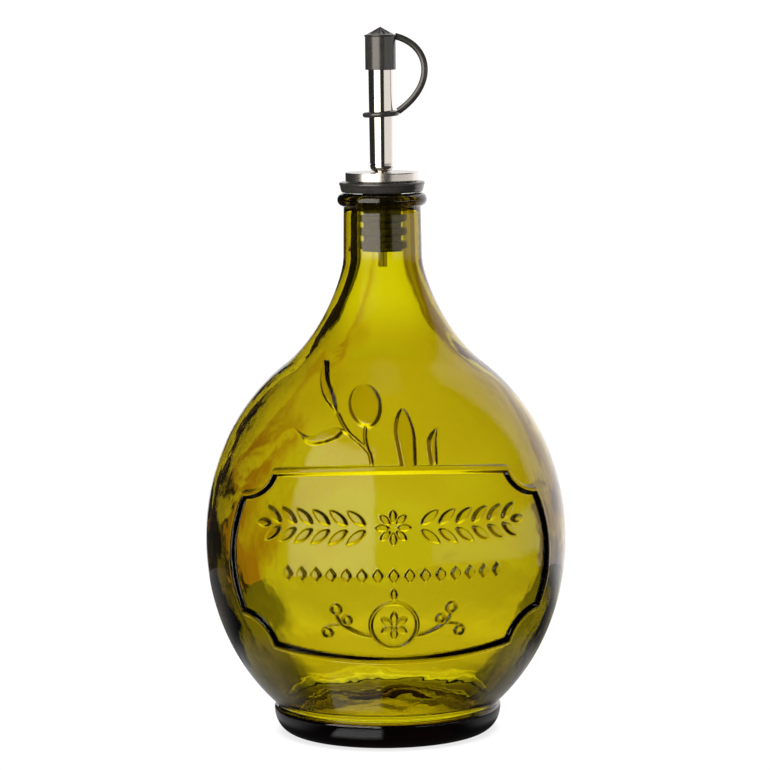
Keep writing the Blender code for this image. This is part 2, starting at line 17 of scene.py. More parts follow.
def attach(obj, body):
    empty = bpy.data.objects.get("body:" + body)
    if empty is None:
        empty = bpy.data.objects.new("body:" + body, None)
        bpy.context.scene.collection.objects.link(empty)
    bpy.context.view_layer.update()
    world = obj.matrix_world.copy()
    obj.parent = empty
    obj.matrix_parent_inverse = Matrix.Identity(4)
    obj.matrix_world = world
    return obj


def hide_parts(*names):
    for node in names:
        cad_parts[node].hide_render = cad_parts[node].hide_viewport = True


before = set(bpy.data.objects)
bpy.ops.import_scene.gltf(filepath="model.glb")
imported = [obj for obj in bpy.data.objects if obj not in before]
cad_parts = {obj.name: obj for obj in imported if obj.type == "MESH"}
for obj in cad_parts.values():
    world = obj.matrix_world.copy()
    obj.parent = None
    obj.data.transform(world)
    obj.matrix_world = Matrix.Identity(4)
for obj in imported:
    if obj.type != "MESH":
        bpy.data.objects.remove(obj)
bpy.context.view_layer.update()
MM = 0.001
print("solids:", sorted(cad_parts))

# %% [markdown]
# ## The camera
# The photograph was taken with a long lens from a little above the middle of the bottle. The
# camera stands 1.24 m away and slightly to the left, so that the panel appears turned a touch
# to the right. Its lens follows from the size of the bottle in the frame. The small roll is the
# lean of the bottle in the picture.

# %% Set the camera
CAMERA_DISTANCE = 1.240
CAMERA_HEIGHT = 0.2653
CAMERA_AZIMUTH = radians(-2.3)
CAMERA_PITCH = 0.1010
CAMERA_ROLL = 0.0110
FOCAL_PIXELS = 3456.5
PICTURE_PIXELS = 770.0
OPTICAL_CENTRE = (383.67, 347.2)
SENSOR_MM = 36.0

ahead = Vector((-sin(CAMERA_AZIMUTH) * cos(CAMERA_PITCH), cos(CAMERA_AZIMUTH) * cos(CAMERA_PITCH),
                -sin(CAMERA_PITCH)))
level_right = ahead.cross(Vector((0.0, 0.0, 1.0))).normalized()
level_up = level_right.cross(ahead).normalized()
right = level_right * cos(CAMERA_ROLL) - level_up * sin(CAMERA_ROLL)
up = level_right * sin(CAMERA_ROLL) + level_up * cos(CAMERA_ROLL)
aim_x = (PICTURE_PIXELS / 2.0 - OPTICAL_CENTRE[0]) / FOCAL_PIXELS
aim_y = -(PICTURE_PIXELS / 2.0 - OPTICAL_CENTRE[1]) / FOCAL_PIXELS
ahead = (ahead + right * aim_x + up * aim_y).normalized()
right = (right - ahead * right.dot(ahead)).normalized()
up = right.cross(ahead).normalized()

scene = bpy.context.scene
camera_data = bpy.data.cameras.new("camera")
camera_data.sensor_width = SENSOR_MM
camera_data.lens = FOCAL_PIXELS * SENSOR_MM / PICTURE_PIXELS
camera_data.clip_start = 0.05
camera = bpy.data.objects.new("camera", camera_data)
scene.collection.objects.link(camera)
stand = Vector((sin(CAMERA_AZIMUTH) * CAMERA_DISTANCE, -cos(CAMERA_AZIMUTH) * CAMERA_DISTANCE, CAMERA_HEIGHT))
camera.matrix_world = Matrix.Translation(stand) @ Matrix((right, up, -ahead)).transposed().to_4x4()
scene.camera = camera
print("lens %.1f mm" % camera_data.lens)

# %% [markdown]
# ## A small helper for node trees
# Shader and geometry trees are made of nodes and links. A short helper adds one node, fills in
# its inputs and links whatever is an output socket, so that each tree reads like a recipe. The
# helpers after it wrap the nodes that come up again and again.

# %% Node helpers
def add_node(tree, kind, settings=None, **inputs):
    """New node. Inputs are given by name with blanks as underscores, or as in_0, in_1 by place.

    An input is a number, an output socket, or a node, which stands for its first output.
    """
    made = tree.nodes.new(kind)
    for name, value in (settings or {}).items():
        setattr(made, name, value)
    for name, value in inputs.items():
        if name.startswith("in_"):
            socket = made.inputs[int(name[3:])]
        else:
            socket = made.inputs[name.replace("_", " ")]
        if isinstance(value, bpy.types.Node):
            value = value.outputs[0]
        if isinstance(value, bpy.types.NodeSocket):
            tree.links.new(value, socket)
        else:
            socket.default_value = value
    return made


def maths(tree, operation, first, second=0.0, third=0.0, clamp=False):
    """Math node."""
    return add_node(tree, "ShaderNodeMath", {"operation": operation, "use_clamp": clamp},
                    in_0=first, in_1=second, in_2=third)


def smooth_step(tree, value, low, high, at_low=0.0, at_high=1.0):
    """Soft change from one number to another while the value goes from low to high."""
    return add_node(tree, "ShaderNodeMapRange", {"interpolation_type": "SMOOTHSTEP"},
                    Value=value, From_Min=low, From_Max=high, To_Min=at_low, To_Max=at_high)


def smooth_band(tree, value, start, full, fade, end):
    """0 up to start, 1 from full to fade, and 0 again from end."""
    return maths(tree, "MULTIPLY", smooth_step(tree, value, start, full), smooth_step(tree, value, end, fade))


def blend_colours(tree, share, first, second):
    """Colour between two: the first at share 0, the second at share 1."""
    made = add_node(tree, "ShaderNodeMix", {"data_type": "RGBA"}, in_0=share, in_6=first, in_7=second)
    return made.outputs[2]


def azimuth_of(tree, axes):
    """Angle round Z in degrees: 0 towards the camera, 90 on its right, 180 behind the bottle."""
    angle = maths(tree, "ARCTAN2", axes.outputs["X"], maths(tree, "MULTIPLY", axes.outputs["Y"], -1.0))
    return maths(tree, "MULTIPLY", angle, 180.0 / pi)


def sees_through(tree, ray):
    """1 for a ray that came through glass and never met a matt surface, 0 for a mirrored one."""
    return maths(tree, "MULTIPLY", ray.outputs["Is Transmission Ray"],
                 maths(tree, "LESS_THAN", ray.outputs["Diffuse Depth"], 0.5))


print("helpers ready")

# %% [markdown]
# ## Light
# Clear glass shows nothing but its surroundings, bent and tinted. A studio for glass therefore
# has two jobs. What shines through the bottle is a bright card behind it with dark gaps at its
# sides, which draw the dark edges. What is mirrored on the bottle is a dark room with one tall
# softbox at the left of the camera and dim walls at the right. Lamps could not keep the two
# apart, so the world paints both rooms by direction, and the kind of ray picks one.

# %% Direction of a ray
world = bpy.data.worlds.new("studio")
scene.world = world
world.use_nodes = True
sky = world.node_tree
sky.nodes.clear()
direction = add_node(sky, "ShaderNodeTexCoord").outputs["Generated"]
direction_axes = add_node(sky, "ShaderNodeSeparateXYZ", Vector=direction)
around = azimuth_of(sky, direction_axes)
rise = maths(sky, "MULTIPLY", maths(sky, "ARCSINE", direction_axes.outputs["Z"]), 180.0 / pi)


def room_of(patches, base):
    """Colour of a room made of soft patches, each laid over the ones before it.

    A patch is: azimuth from and to, elevation from and to, softness in degrees, and its light.
    """
    light = (*base, 1.0)
    for start, end, low, high, soft, colour in patches:
        half = (end - start) / 2.0
        away = maths(sky, "WRAP", maths(sky, "SUBTRACT", around, (start + end) / 2.0), 180.0, -180.0)
        away = maths(sky, "ABSOLUTE", away)
        inside = smooth_step(sky, away, half + soft / 2.0, half - soft / 2.0)
        for limit, outwards in ((low, -1.0), (high, 1.0)):
            outside, within = limit + outwards * soft / 2.0, limit - outwards * soft / 2.0
            inside = maths(sky, "MULTIPLY", inside, smooth_step(sky, rise, outside, within))
        light = blend_colours(sky, inside, light, (*colour, 1.0))
    return light


# %% [markdown]
# Each room is a short list of soft patches. Elevation 0 is level, azimuth 0 points at the camera
# and 180 lies straight behind the bottle, so the list can be read like a plan of the studio.

# %% The two rooms
MIRRORED = [
    (-66.0, -10.0, -20.0, 47.0, 6.0, (3.9, 3.65, 3.2)),           # tall softbox, left of the camera
    (27.0, 112.0, -9.0, 4.0, 3.0, (1.05, 1.0, 0.95)),             # low wall on the right
    (112.0, 170.0, -30.0, 60.0, 9.0, (1.35, 1.25, 1.25)),         # wall at the back right, for the rim
    (168.0, 192.0, -30.0, 60.0, 4.0, (1.0, 1.0, 1.0)),            # card behind the bottle
    (-200.0, 200.0, 81.0, 99.0, 6.0, (1.0, 1.0, 1.0)),            # round patch of ceiling
]
THROUGH = [
    (-200.0, 200.0, -90.0, 70.0, 8.0, (0.70, 0.74, 0.62)),        # dim walls all round
    (158.0, 186.0, -90.0, 75.0, 6.0, (1.5, 1.72, 1.35)),          # bright card behind the bottle
    (158.0, 186.0, -90.0, -7.6, 1.5, (1.5, 1.85, 1.4)),           # its lower part, a little greener
    (183.0, 198.0, -90.0, 75.0, 6.0, (0.98, 0.66, 0.45)),         # brown wall left of the card
    (157.0, 166.5, -90.0, -6.0, 2.5, (0.32, 0.28, 0.20)),         # dark strip right of the card
    (128.0, 152.0, -90.0, 75.0, 5.0, (0.02, 0.02, 0.02)),         # black gap on the right
    (190.5, 246.0, -90.0, 75.0, 3.0, (0.02, 0.018, 0.015)),       # black gap on the left
    (184.0, 203.0, -4.9, 75.0, 1.6, (1.5, 1.72, 1.3)),            # left strip of light for the neck
    (126.0, 154.0, -4.9, 75.0, 1.6, (0.55, 0.46, 0.60)),          # right strip of light for the neck
    (8.0, 30.0, -60.0, 60.0, 5.0, (0.04, 0.04, 0.03)),            # dark space beside the camera
    (160.0, 194.0, 14.0, 75.0, 7.0, (3.2, 4.1, 2.4)),             # top of the card, lights the relief
]
mirrored_room = room_of(MIRRORED, (0.03, 0.03, 0.03))
through_room = room_of(THROUGH, (0.25, 0.25, 0.25))
print("patches:", len(MIRRORED), "mirrored,", len(THROUGH), "through")

# %% [markdown]
# The Light Path node knows what a ray has met so far. Rays from the camera that miss everything
# see plain white, as on a catalogue page. The view transform is Standard, so that this white
# stays white, and the bounces are raised because one ray crosses glass four times or more.

# %% Pick a room for each ray
sky_ray = add_node(sky, "ShaderNodeLightPath")
picked = blend_colours(sky, sees_through(sky, sky_ray), mirrored_room, through_room)
room = add_node(sky, "ShaderNodeBackground", Color=picked, Strength=1.0)
white = add_node(sky, "ShaderNodeBackground", Color=(1.0, 1.0, 1.0, 1.0), Strength=1.05)
chosen = add_node(sky, "ShaderNodeMixShader", in_0=sky_ray.outputs["Is Camera Ray"], in_1=room, in_2=white)
add_node(sky, "ShaderNodeOutputWorld", Surface=chosen)

scene.view_settings.view_transform = "Standard"
scene.view_settings.look = "None"
scene.cycles.max_bounces = 32
scene.cycles.transmission_bounces = 28
scene.cycles.glossy_bounces = 12
scene.cycles.transparent_max_bounces = 16
print("world nodes:", len(sky.nodes))

# %% [markdown]
# ## Floor
# The floor is a pale disc. Its light is chosen in the same way as the world's: one look for the
# eye, one for rays that come through the glass, and one for mirrored rays. All three are
# worked out from the place on the floor: its distance from the bottle's axis and its bearing.

# %% Make the floor
def new_finish(name):
    """Empty material and its tree."""
    made = bpy.data.materials.new(name)
    made.use_nodes = True
    made.node_tree.nodes.clear()
    return made, made.node_tree


FLOOR_RADIUS = 0.32
floor_mesh = bpy.data.meshes.new("floor")
shape = bmesh.new()
bmesh.ops.create_circle(shape, cap_ends=True, segments=96, radius=FLOOR_RADIUS)
shape.to_mesh(floor_mesh)
shape.free()
floor = bpy.data.objects.new("floor", floor_mesh)
scene.collection.objects.link(floor)
floor_finish, ground = new_finish("pale_floor")
floor_mesh.materials.append(floor_finish)

floor_spot = add_node(ground, "ShaderNodeTexCoord").outputs["Object"]
reach = add_node(ground, "ShaderNodeVectorMath", {"operation": "LENGTH"}, in_0=floor_spot).outputs["Value"]
floor_axes = add_node(ground, "ShaderNodeSeparateXYZ", Vector=floor_spot)
bearing = azimuth_of(ground, floor_axes)
off_front = maths(ground, "ABSOLUTE", bearing)
print("floor radius", FLOOR_RADIUS)

# %% [markdown]
# To the eye the floor is as white as the backdrop, but for a thin soft painted shadow close to the foot.
# Through the glass it is dim beside the bottle and bright further back, where the card lights
# it. Two straight edges run backwards from the bottle's sides: past the inner pair the card's
# light ends, and past the outer pair the floor is black, which draws the dark lower rims.

# %% The floor as the eye sees it and through the glass
CARD_EDGES = [(-1.0, 0.10, 0.026), (1.0, 0.34, 0.026)]            # side, slope, distance from the middle
BLACK_EDGES = [(-1.0, 0.185, 0.046), (1.0, 0.45, 0.043)]
# Painted shadow: to the eye the floor is a little darker close to the foot.
seen_floor = smooth_step(ground, reach, 0.037, 0.0425, 0.8, 1.03)


def past_edge(side, slope, start):
    """Metres past a straight edge on the floor, on the side -1 or 1 of the bottle."""
    edge_place = maths(ground, "MULTIPLY_ADD", floor_axes.outputs["Y"], slope, start)
    return maths(ground, "SUBTRACT", maths(ground, "MULTIPLY", floor_axes.outputs["X"], side), edge_place)


through_floor = smooth_step(ground, reach, 0.045, 0.125, 0.62, 2.1)
through_floor = maths(ground, "SUBTRACT", through_floor, smooth_step(ground, reach, 0.15, 0.27, 0.0, 0.6))
beside_card = smooth_step(ground, off_front, 125.0, 100.0)
for edge_line in CARD_EDGES:
    past = smooth_step(ground, past_edge(*edge_line), -0.008, 0.008)
    beside_card = maths(ground, "ADD", beside_card, past, clamp=True)
in_black = 0.0
for edge_line in BLACK_EDGES:
    past = smooth_step(ground, past_edge(*edge_line), -0.004, 0.006)
    behind = smooth_step(ground, maths(ground, "MULTIPLY", bearing, edge_line[0]), 112.0, 120.0)
    in_black = maths(ground, "ADD", in_black, maths(ground, "MULTIPLY", past, behind), clamp=True)
beside_dim = maths(ground, "MULTIPLY_ADD", beside_card, -0.72, 1.0)
through_floor = maths(ground, "MULTIPLY", through_floor, beside_dim)
through_floor = maths(ground, "MULTIPLY", through_floor, maths(ground, "SUBTRACT", 1.0, in_black))
under_foot = smooth_step(ground, reach, 0.0335, 0.0325, 0.0, 1.2)
through_floor = maths(ground, "ADD", through_floor, under_foot)
print("edges on the floor:", len(CARD_EDGES) + len(BLACK_EDGES))

# %% [markdown]
# In reflections the floor is nearly black, like the polished table of a studio, with a few soft
# glows. The softbox leaves one in front on the left, which shows as a patch on the foot ring.
# Both sides and the back of the table catch a little light as well.

# %% The floor in reflections
BOX_BEARING = -21.0
off_box = maths(ground, "ABSOLUTE", maths(ground, "SUBTRACT", bearing, BOX_BEARING))
box_glow = maths(ground, "MULTIPLY", smooth_step(ground, off_box, 17.0, 13.0, 0.0, 1.3),
                 smooth_band(ground, reach, 0.041, 0.046, 0.050, 0.080))
side_glow = maths(ground, "MULTIPLY", smooth_step(ground, off_front, 45.0, 75.0, 0.0, 0.35),
                  smooth_band(ground, reach, 0.041, 0.050, 0.080, 0.120))
far_right = maths(ground, "MULTIPLY", smooth_step(ground, bearing, 0.0, 10.0, 0.0, 0.9),
                  smooth_step(ground, reach, 0.15, 0.32))
back_glow = maths(ground, "MULTIPLY", smooth_step(ground, off_front, 105.0, 135.0),
                  smooth_step(ground, reach, 0.06, 0.11))
mirrored_floor = maths(ground, "MULTIPLY_ADD", back_glow, maths(ground, "ADD", far_right, 0.12), 0.03)
for glow in (box_glow, side_glow):
    mirrored_floor = maths(ground, "ADD", mirrored_floor, glow)
print("glows on the floor: softbox, sides, back")

# %% [markdown]
# The kind of ray picks one of the three. Light that came through the glass gets a faint blue
# green tone, which balances the yellow of the glass in the bright line above the foot.

# %% Pick the floor's light for each ray
floor_ray = add_node(ground, "ShaderNodeLightPath")
floor_clear = sees_through(ground, floor_ray)
strength = add_node(ground, "ShaderNodeMix", {"data_type": "FLOAT"}, in_0=floor_clear,
                    in_2=mirrored_floor, in_3=through_floor)
strength = add_node(ground, "ShaderNodeMix", {"data_type": "FLOAT"}, in_0=floor_ray.outputs["Is Camera Ray"],
                    in_2=strength, in_3=seen_floor)
floor_hue = blend_colours(ground, floor_clear, (1.0, 1.0, 1.0, 1.0), (0.9, 1.06, 1.0, 1.0))
lit = add_node(ground, "ShaderNodeEmission", Color=floor_hue, Strength=strength)
add_node(ground, "ShaderNodeOutputMaterial", Surface=lit)
print("floor nodes:", len(ground.nodes))

# %% [markdown]
# ## Green glass
# Bottle glass gets its colour from what it swallows on the way through, so the tint lives in the
# volume: thin walls stay bright yellow green and thick ones turn dark brown. The surface is
# clear and smooth, with the very faint ripple that a mould leaves. Two things are painted on by
# height on the bottle. The skin is darkened as painted shade: a little on the belly, more on the heel,
# which are darker in the photograph, and most on the thick lip, while the crease above the foot is
# left nearly clear. The reflection is painted strongest on the foot, the panel and the neck, weak elsewhere.

# %% Glass finish
# Painted reflection: steps of reflection strength by height.
PAINTED_REFLECTION_STEPS = [(0.0110, 0.0095, 0.85), (0.034, 0.050, 0.42), (0.118, 0.132, -0.42), (0.171, 0.175, 0.95)]
# Painted shade: skin colours that darken the glass by height; the crease is left nearly clear.
BELLY_PAINTED_SHADE = (0.837, 0.778, 0.86, 1.0)
HEEL_PAINTED_SHADE = (0.66, 0.60, 0.70, 1.0)
CREASE_SKIN = (1.0, 1.0, 0.95, 1.0)
LIP_PAINTED_SHADE = (0.34, 0.31, 0.34, 1.0)
GLASS_TINT = (0.866, 0.825, 0.0, 1.0)
GLASS_DENSITY = 658.0

green_glass, glass_tree = new_finish("green_glass")
glass_spot = add_node(glass_tree, "ShaderNodeTexCoord").outputs["Object"]
ripple = add_node(glass_tree, "ShaderNodeTexNoise", Vector=glass_spot, Scale=95.0, Detail=2.0)
rippled = add_node(glass_tree, "ShaderNodeBump", Height=ripple, Strength=0.2, Distance=0.0007)
glass_z = add_node(glass_tree, "ShaderNodeSeparateXYZ", Vector=glass_spot).outputs["Z"]
# Painted reflection: strong on the foot, the panel and the neck, weak elsewhere.
painted_reflection = 0.05
for low, high, change in PAINTED_REFLECTION_STEPS:
    painted_reflection = maths(glass_tree, "MULTIPLY_ADD", smooth_step(glass_tree, glass_z, low, high), change, painted_reflection)
# Painted shade on the skin, laid on by height.
painted_shade_skin = (1.0, 1.0, 1.0, 1.0)
for share, colour in ((smooth_step(glass_tree, glass_z, 0.160, 0.138), BELLY_PAINTED_SHADE),
                      (smooth_band(glass_tree, glass_z, 0.0125, 0.0150, 0.0240, 0.0300), HEEL_PAINTED_SHADE),
                      (smooth_band(glass_tree, glass_z, 0.0090, 0.0096, 0.0118, 0.0130), CREASE_SKIN),
                      (smooth_step(glass_tree, glass_z, 0.1893, 0.1907), LIP_PAINTED_SHADE)):
    painted_shade_skin = blend_colours(glass_tree, share, painted_shade_skin, colour)
glass_skin = add_node(glass_tree, "ShaderNodeBsdfPrincipled", Base_Color=painted_shade_skin, Roughness=0.015, IOR=1.5,
                      Transmission_Weight=1.0, Specular_Tint=painted_reflection, Normal=rippled)
glass_body = add_node(glass_tree, "ShaderNodeVolumeAbsorption", Color=GLASS_TINT, Density=GLASS_DENSITY)
add_node(glass_tree, "ShaderNodeOutputMaterial", Surface=glass_skin, Volume=glass_body)
print("glass nodes:", len(glass_tree.nodes))

# %% [markdown]
# ## Black rubber and steel
# Rubber is never quite black: it is a soft dark grey with a fine matt grain. The pourer's tube is
# polished steel, and the disc under it is brushed in circles, so its grooves run round the axis.
# Both are helpers with a few settings, because the cap's crown and the disc need a second kind.

# %% Rubber finish
def rubber_finish(name, dark, light, roughness, specular):
    """Rubber with a cloudy tone and a fine grain. Roughness is a pair, least and most."""
    made, tree = new_finish(name)
    spot = add_node(tree, "ShaderNodeTexCoord").outputs["Object"]
    cloud = add_node(tree, "ShaderNodeTexNoise", Vector=spot, Scale=240.0, Detail=3.0)
    shade = add_node(tree, "ShaderNodeValToRGB", Fac=cloud)
    for stop, place, tone in zip(shade.color_ramp.elements, (0.3, 0.75), (dark, light)):
        stop.position = place
        stop.color = (*tone, 1.0)
    grain = add_node(tree, "ShaderNodeTexNoise", Vector=spot, Scale=2600.0, Detail=2.0)
    bump = add_node(tree, "ShaderNodeBump", Height=grain, Strength=0.12, Distance=0.00004)
    gloss = add_node(tree, "ShaderNodeMapRange", Value=cloud, To_Min=roughness[0], To_Max=roughness[1])
    surface = add_node(tree, "ShaderNodeBsdfPrincipled", Base_Color=shade, Roughness=gloss,
                       Specular_IOR_Level=specular, Normal=bump)
    add_node(tree, "ShaderNodeOutputMaterial", Surface=surface)
    return made


black_rubber = rubber_finish("black_rubber", (0.030, 0.030, 0.031), (0.050, 0.048, 0.048), (0.2, 0.27), 0.75)
print("rubber made")

# %% [markdown]
# Brushed lines are a noise that is stretched a hundred times further along the brushing than
# across it. Here the noise is read in distance from the axis, angle and height, so the lines
# on the disc are circles, and those on the tube run round it as from a polishing wheel.

# %% Steel finish
def steel_finish(name, stretch, roughness, depth):
    """Steel with fine lines: stretch scales the noise outwards, round the axis and upwards."""
    made, tree = new_finish(name)
    spot = add_node(tree, "ShaderNodeTexCoord").outputs["Object"]
    axes = add_node(tree, "ShaderNodeSeparateXYZ", Vector=spot)
    flat = add_node(tree, "ShaderNodeCombineXYZ", X=axes.outputs["X"], Y=axes.outputs["Y"])
    from_axis = add_node(tree, "ShaderNodeVectorMath", {"operation": "LENGTH"}, in_0=flat)
    turned = maths(tree, "ARCTAN2", axes.outputs["Y"], axes.outputs["X"])
    lines = add_node(tree, "ShaderNodeCombineXYZ",
                     X=maths(tree, "MULTIPLY", from_axis.outputs["Value"], stretch[0]),
                     Y=maths(tree, "MULTIPLY", turned, stretch[1]),
                     Z=maths(tree, "MULTIPLY", axes.outputs["Z"], stretch[2]))
    brushed = add_node(tree, "ShaderNodeTexNoise", Vector=lines, Scale=1.0, Detail=4.0)
    bump = add_node(tree, "ShaderNodeBump", Height=brushed, Strength=0.3, Distance=depth)
    rough = add_node(tree, "ShaderNodeMapRange", Value=brushed, To_Min=roughness * 0.7,
                     To_Max=roughness * 1.3)
    tone = add_node(tree, "ShaderNodeValToRGB", Fac=brushed)
    tone.color_ramp.elements[0].color = (0.62, 0.59, 0.55, 1.0)
    tone.color_ramp.elements[1].color = (0.78, 0.75, 0.71, 1.0)
    surface = add_node(tree, "ShaderNodeBsdfPrincipled", Base_Color=tone, Metallic=1.0, Roughness=rough,
                       Normal=bump)
    add_node(tree, "ShaderNodeOutputMaterial", Surface=surface)
    return made


polished_steel = steel_finish("polished_steel", (200.0, 6.0, 1500.0), 0.10, 0.00001)
brushed_steel = steel_finish("brushed_steel", (5200.0, 1.5, 4200.0), 0.26, 0.00003)
print("steel made")

# %% [markdown]
# ## Geometry Nodes trees
# Three rules make most of the shapes: turning a profile, repeating a stroke, and sweeping a
# section along a path. Each becomes one tree with named inputs. Small helpers open a tree with
# its inputs, join pieces, and end it with real geometry, smooth shading and the material.

# %% Tree helpers
def new_geometry_tree(name, inputs):
    """Geometry tree with named inputs, given as (name, socket type, default)."""
    made = bpy.data.node_groups.new(name, "GeometryNodeTree")
    made.interface.new_socket("Geometry", in_out="INPUT", socket_type="NodeSocketGeometry")
    for label, kind, default in inputs:
        socket = made.interface.new_socket(label, in_out="INPUT", socket_type=kind)
        if default is not None:
            socket.default_value = default
    made.interface.new_socket("Geometry", in_out="OUTPUT", socket_type="NodeSocketGeometry")
    return made, made.nodes.new("NodeGroupInput"), made.nodes.new("NodeGroupOutput")


def close_tree(tree, geometry, group_in, group_out, smooth=True):
    """Last steps of each tree: real geometry, smooth shading and the material."""
    solid = add_node(tree, "GeometryNodeRealizeInstances", in_0=geometry)
    if smooth:
        solid = add_node(tree, "GeometryNodeSetShadeSmooth", in_0=solid)
    painted = add_node(tree, "GeometryNodeSetMaterial", Geometry=solid,
                       Material=group_in.outputs["Material"])
    tree.links.new(painted.outputs[0], group_out.inputs[0])


def join(tree, *pieces):
    """All pieces as one geometry."""
    made = tree.nodes.new("GeometryNodeJoinGeometry")
    for piece in pieces:
        tree.links.new(piece.outputs[0], made.inputs[0])
    return made


print("tree helpers ready")

# %% [markdown]
# Almost every piece here was turned or moulded round one axis. The turning tree does that rule
# once: the object's own vertices are the profile, a grid gets one row for each of them, and
# every grid point is swung round Z. The seam and the poles close in Merge by Distance.

# %% The turning tree
turning, turn_in, turn_out = new_geometry_tree("turn_profile", [
    ("Sides", "NodeSocketInt", 64), ("Material", "NodeSocketMaterial", None)])
turn_rows = add_node(turning, "GeometryNodeAttributeDomainSize", in_0=turn_in)
turn_columns = maths(turning, "ADD", turn_in.outputs["Sides"], 1.0)
turn_grid = add_node(turning, "GeometryNodeMeshGrid", Vertices_X=turn_rows, Vertices_Y=turn_columns)
turn_index = add_node(turning, "GeometryNodeInputIndex")
turn_row = maths(turning, "DIVIDE", maths(turning, "ADD", turn_index, 0.5), turn_columns)
turn_row = maths(turning, "FLOOR", turn_row)
turn_column = maths(turning, "SUBTRACT", turn_index, maths(turning, "MULTIPLY", turn_row, turn_columns))
swing = maths(turning, "MULTIPLY", maths(turning, "DIVIDE", turn_column, turn_in.outputs["Sides"]), tau)
profile_point = add_node(turning, "GeometryNodeSampleIndex", {"data_type": "FLOAT_VECTOR"},
                         Geometry=turn_in, Index=turn_row,
                         Value=add_node(turning, "GeometryNodeInputPosition"))
swung = add_node(turning, "ShaderNodeVectorRotate", {"rotation_type": "Z_AXIS"}, Vector=profile_point,
                 Angle=swing)
turned_grid = add_node(turning, "GeometryNodeSetPosition", Geometry=turn_grid, Position=swung)
merged = add_node(turning, "GeometryNodeMergeByDistance", Geometry=turned_grid, Distance=0.000002)
close_tree(turning, merged, turn_in, turn_out)
print("turning tree:", len(turning.nodes), "nodes")

# %% [markdown]
# ## From a tree to a plain mesh
# The exporter wants plain meshes, so each tree's result is copied out of the evaluated object.
# The same helper also turns faces outwards and marks the sharp edges.

# %% Apply a tree
def run_tree(name, mesh, tree, **values):
    """Mesh that the tree makes from this mesh. Values are its inputs by name."""
    carrier = bpy.data.objects.new(name, mesh)
    scene.collection.objects.link(carrier)
    modifier = carrier.modifiers.new(name, "NODES")
    modifier.node_group = tree
    for item in tree.interface.items_tree:
        key = item.name.replace(" ", "_")
        if item.item_type == "SOCKET" and item.in_out == "INPUT" and key in values:
            modifier[item.identifier] = values[key]
    graph = bpy.context.evaluated_depsgraph_get()
    made = bpy.data.meshes.new_from_object(carrier.evaluated_get(graph))
    bpy.data.objects.remove(carrier, do_unlink=True)
    made.name = name
    return made


def face_outwards(mesh, sharp=None):
    """Recalculate the normals of a closed mesh and mark edges over `sharp` degrees."""
    shape = bmesh.new()
    shape.from_mesh(mesh)
    bmesh.ops.recalc_face_normals(shape, faces=shape.faces[:])
    shape.to_mesh(mesh)
    shape.free()
    if sharp:
        mesh.set_sharp_from_angle(angle=radians(sharp))
    return mesh


def line_mesh(name, points, edges=None):
    """Mesh of loose points joined in a row."""
    mesh = bpy.data.meshes.new(name)
    links = edges if edges is not None else [(k, k + 1) for k in range(len(points) - 1)]
    mesh.from_pydata([tuple(point) for point in points], links, [])
    return mesh


def turn(name, outline, sides, finish, sharp=35.0):
    """Turned mesh from an outline of (radius, z) in millimetres."""
    points = [(radius * MM, 0.0, z * MM) for radius, z in outline]
    mesh = run_tree(name, line_mesh(name + "_profile", points), turning, Sides=sides, Material=finish)
    return face_outwards(mesh, sharp) if sharp else mesh


def show(name, mesh, slot, *nodes):
    """Object of this mesh that rides on the root and stands for the named solids."""
    made = bpy.data.objects.new(name, mesh)
    scene.collection.objects.link(made)
    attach(made, "root")
    if nodes:
        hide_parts(*nodes)
    print(name, len(mesh.vertices), "points,", sum(len(p.vertices) - 2 for p in mesh.polygons), "triangles")


print("a tree's result becomes a plain mesh")

# %% [markdown]
# ## The bottle's outer profile
# The belly is a half ellipse. A hollow shoulder, one cubic curve, carries it into the neck.
# These are the same values as in the solid, so both have the same outline. The profile is
# measured by the length along it, which keeps the points evenly spaced everywhere.

# %% Outer profile
BELLY_RADIUS = 65.2
BELLY_HALF_HEIGHT = 75.8
BELLY_Z = 70.45
SHOULDER_Z = 133.6
SHOULDER_PULL = 18.7
NECK_PULL = 5.3
NECK_Z = 172.1
NECK_RADIUS = 14.16
NECK_TOP_RADIUS = 13.9
LIP_BOTTOM_Z = 190.6
CREASE_RADIUS = 39.43


def cubic(p0, p1, p2, p3, t):
    """Point at t on the cubic curve with these four control points."""
    s = 1.0 - t
    return p0 * s ** 3 + p1 * (3.0 * s * s * t) + p2 * (3.0 * s * t * t) + p3 * t ** 3


BELLY_STEPS = 1200
SHOULDER_STEPS = 400
crease_angle = -acos(CREASE_RADIUS / BELLY_RADIUS)
shoulder_angle = asin((SHOULDER_Z - BELLY_Z) / BELLY_HALF_HEIGHT)
outer = []
for k in range(BELLY_STEPS + 1):
    belly_angle = crease_angle + (shoulder_angle - crease_angle) * k / BELLY_STEPS
    outer.append((BELLY_RADIUS * cos(belly_angle), BELLY_Z + BELLY_HALF_HEIGHT * sin(belly_angle)))
start = Vector(outer[-1])
lean = (BELLY_RADIUS / BELLY_HALF_HEIGHT) ** 2 * (SHOULDER_Z - BELLY_Z) / start.x
along_belly = Vector((-lean, 1.0)).normalized()
end = Vector((NECK_RADIUS, NECK_Z))
start_handle = start + along_belly * SHOULDER_PULL
end_handle = end - Vector((0.0, NECK_PULL))
for k in range(1, SHOULDER_STEPS + 1):
    point = cubic(start, start_handle, end_handle, end, k / SHOULDER_STEPS)
    outer.append((point.x, point.y))
outer.append((NECK_TOP_RADIUS, LIP_BOTTOM_Z - 0.3))
outer = np.array(outer)
step_lengths = np.hypot(*np.diff(outer, axis=0).T)
outer_length = np.concatenate([[0.0], np.cumsum(step_lengths)])


def length_at(z):
    """Length along the profile up to height z."""
    return np.interp(z, outer[:, 1], outer_length)


def radius_at(z):
    """Outer radius at height z."""
    return np.interp(z, outer[:, 1], outer[:, 0])


print("profile length %.1f mm" % outer_length[-1])

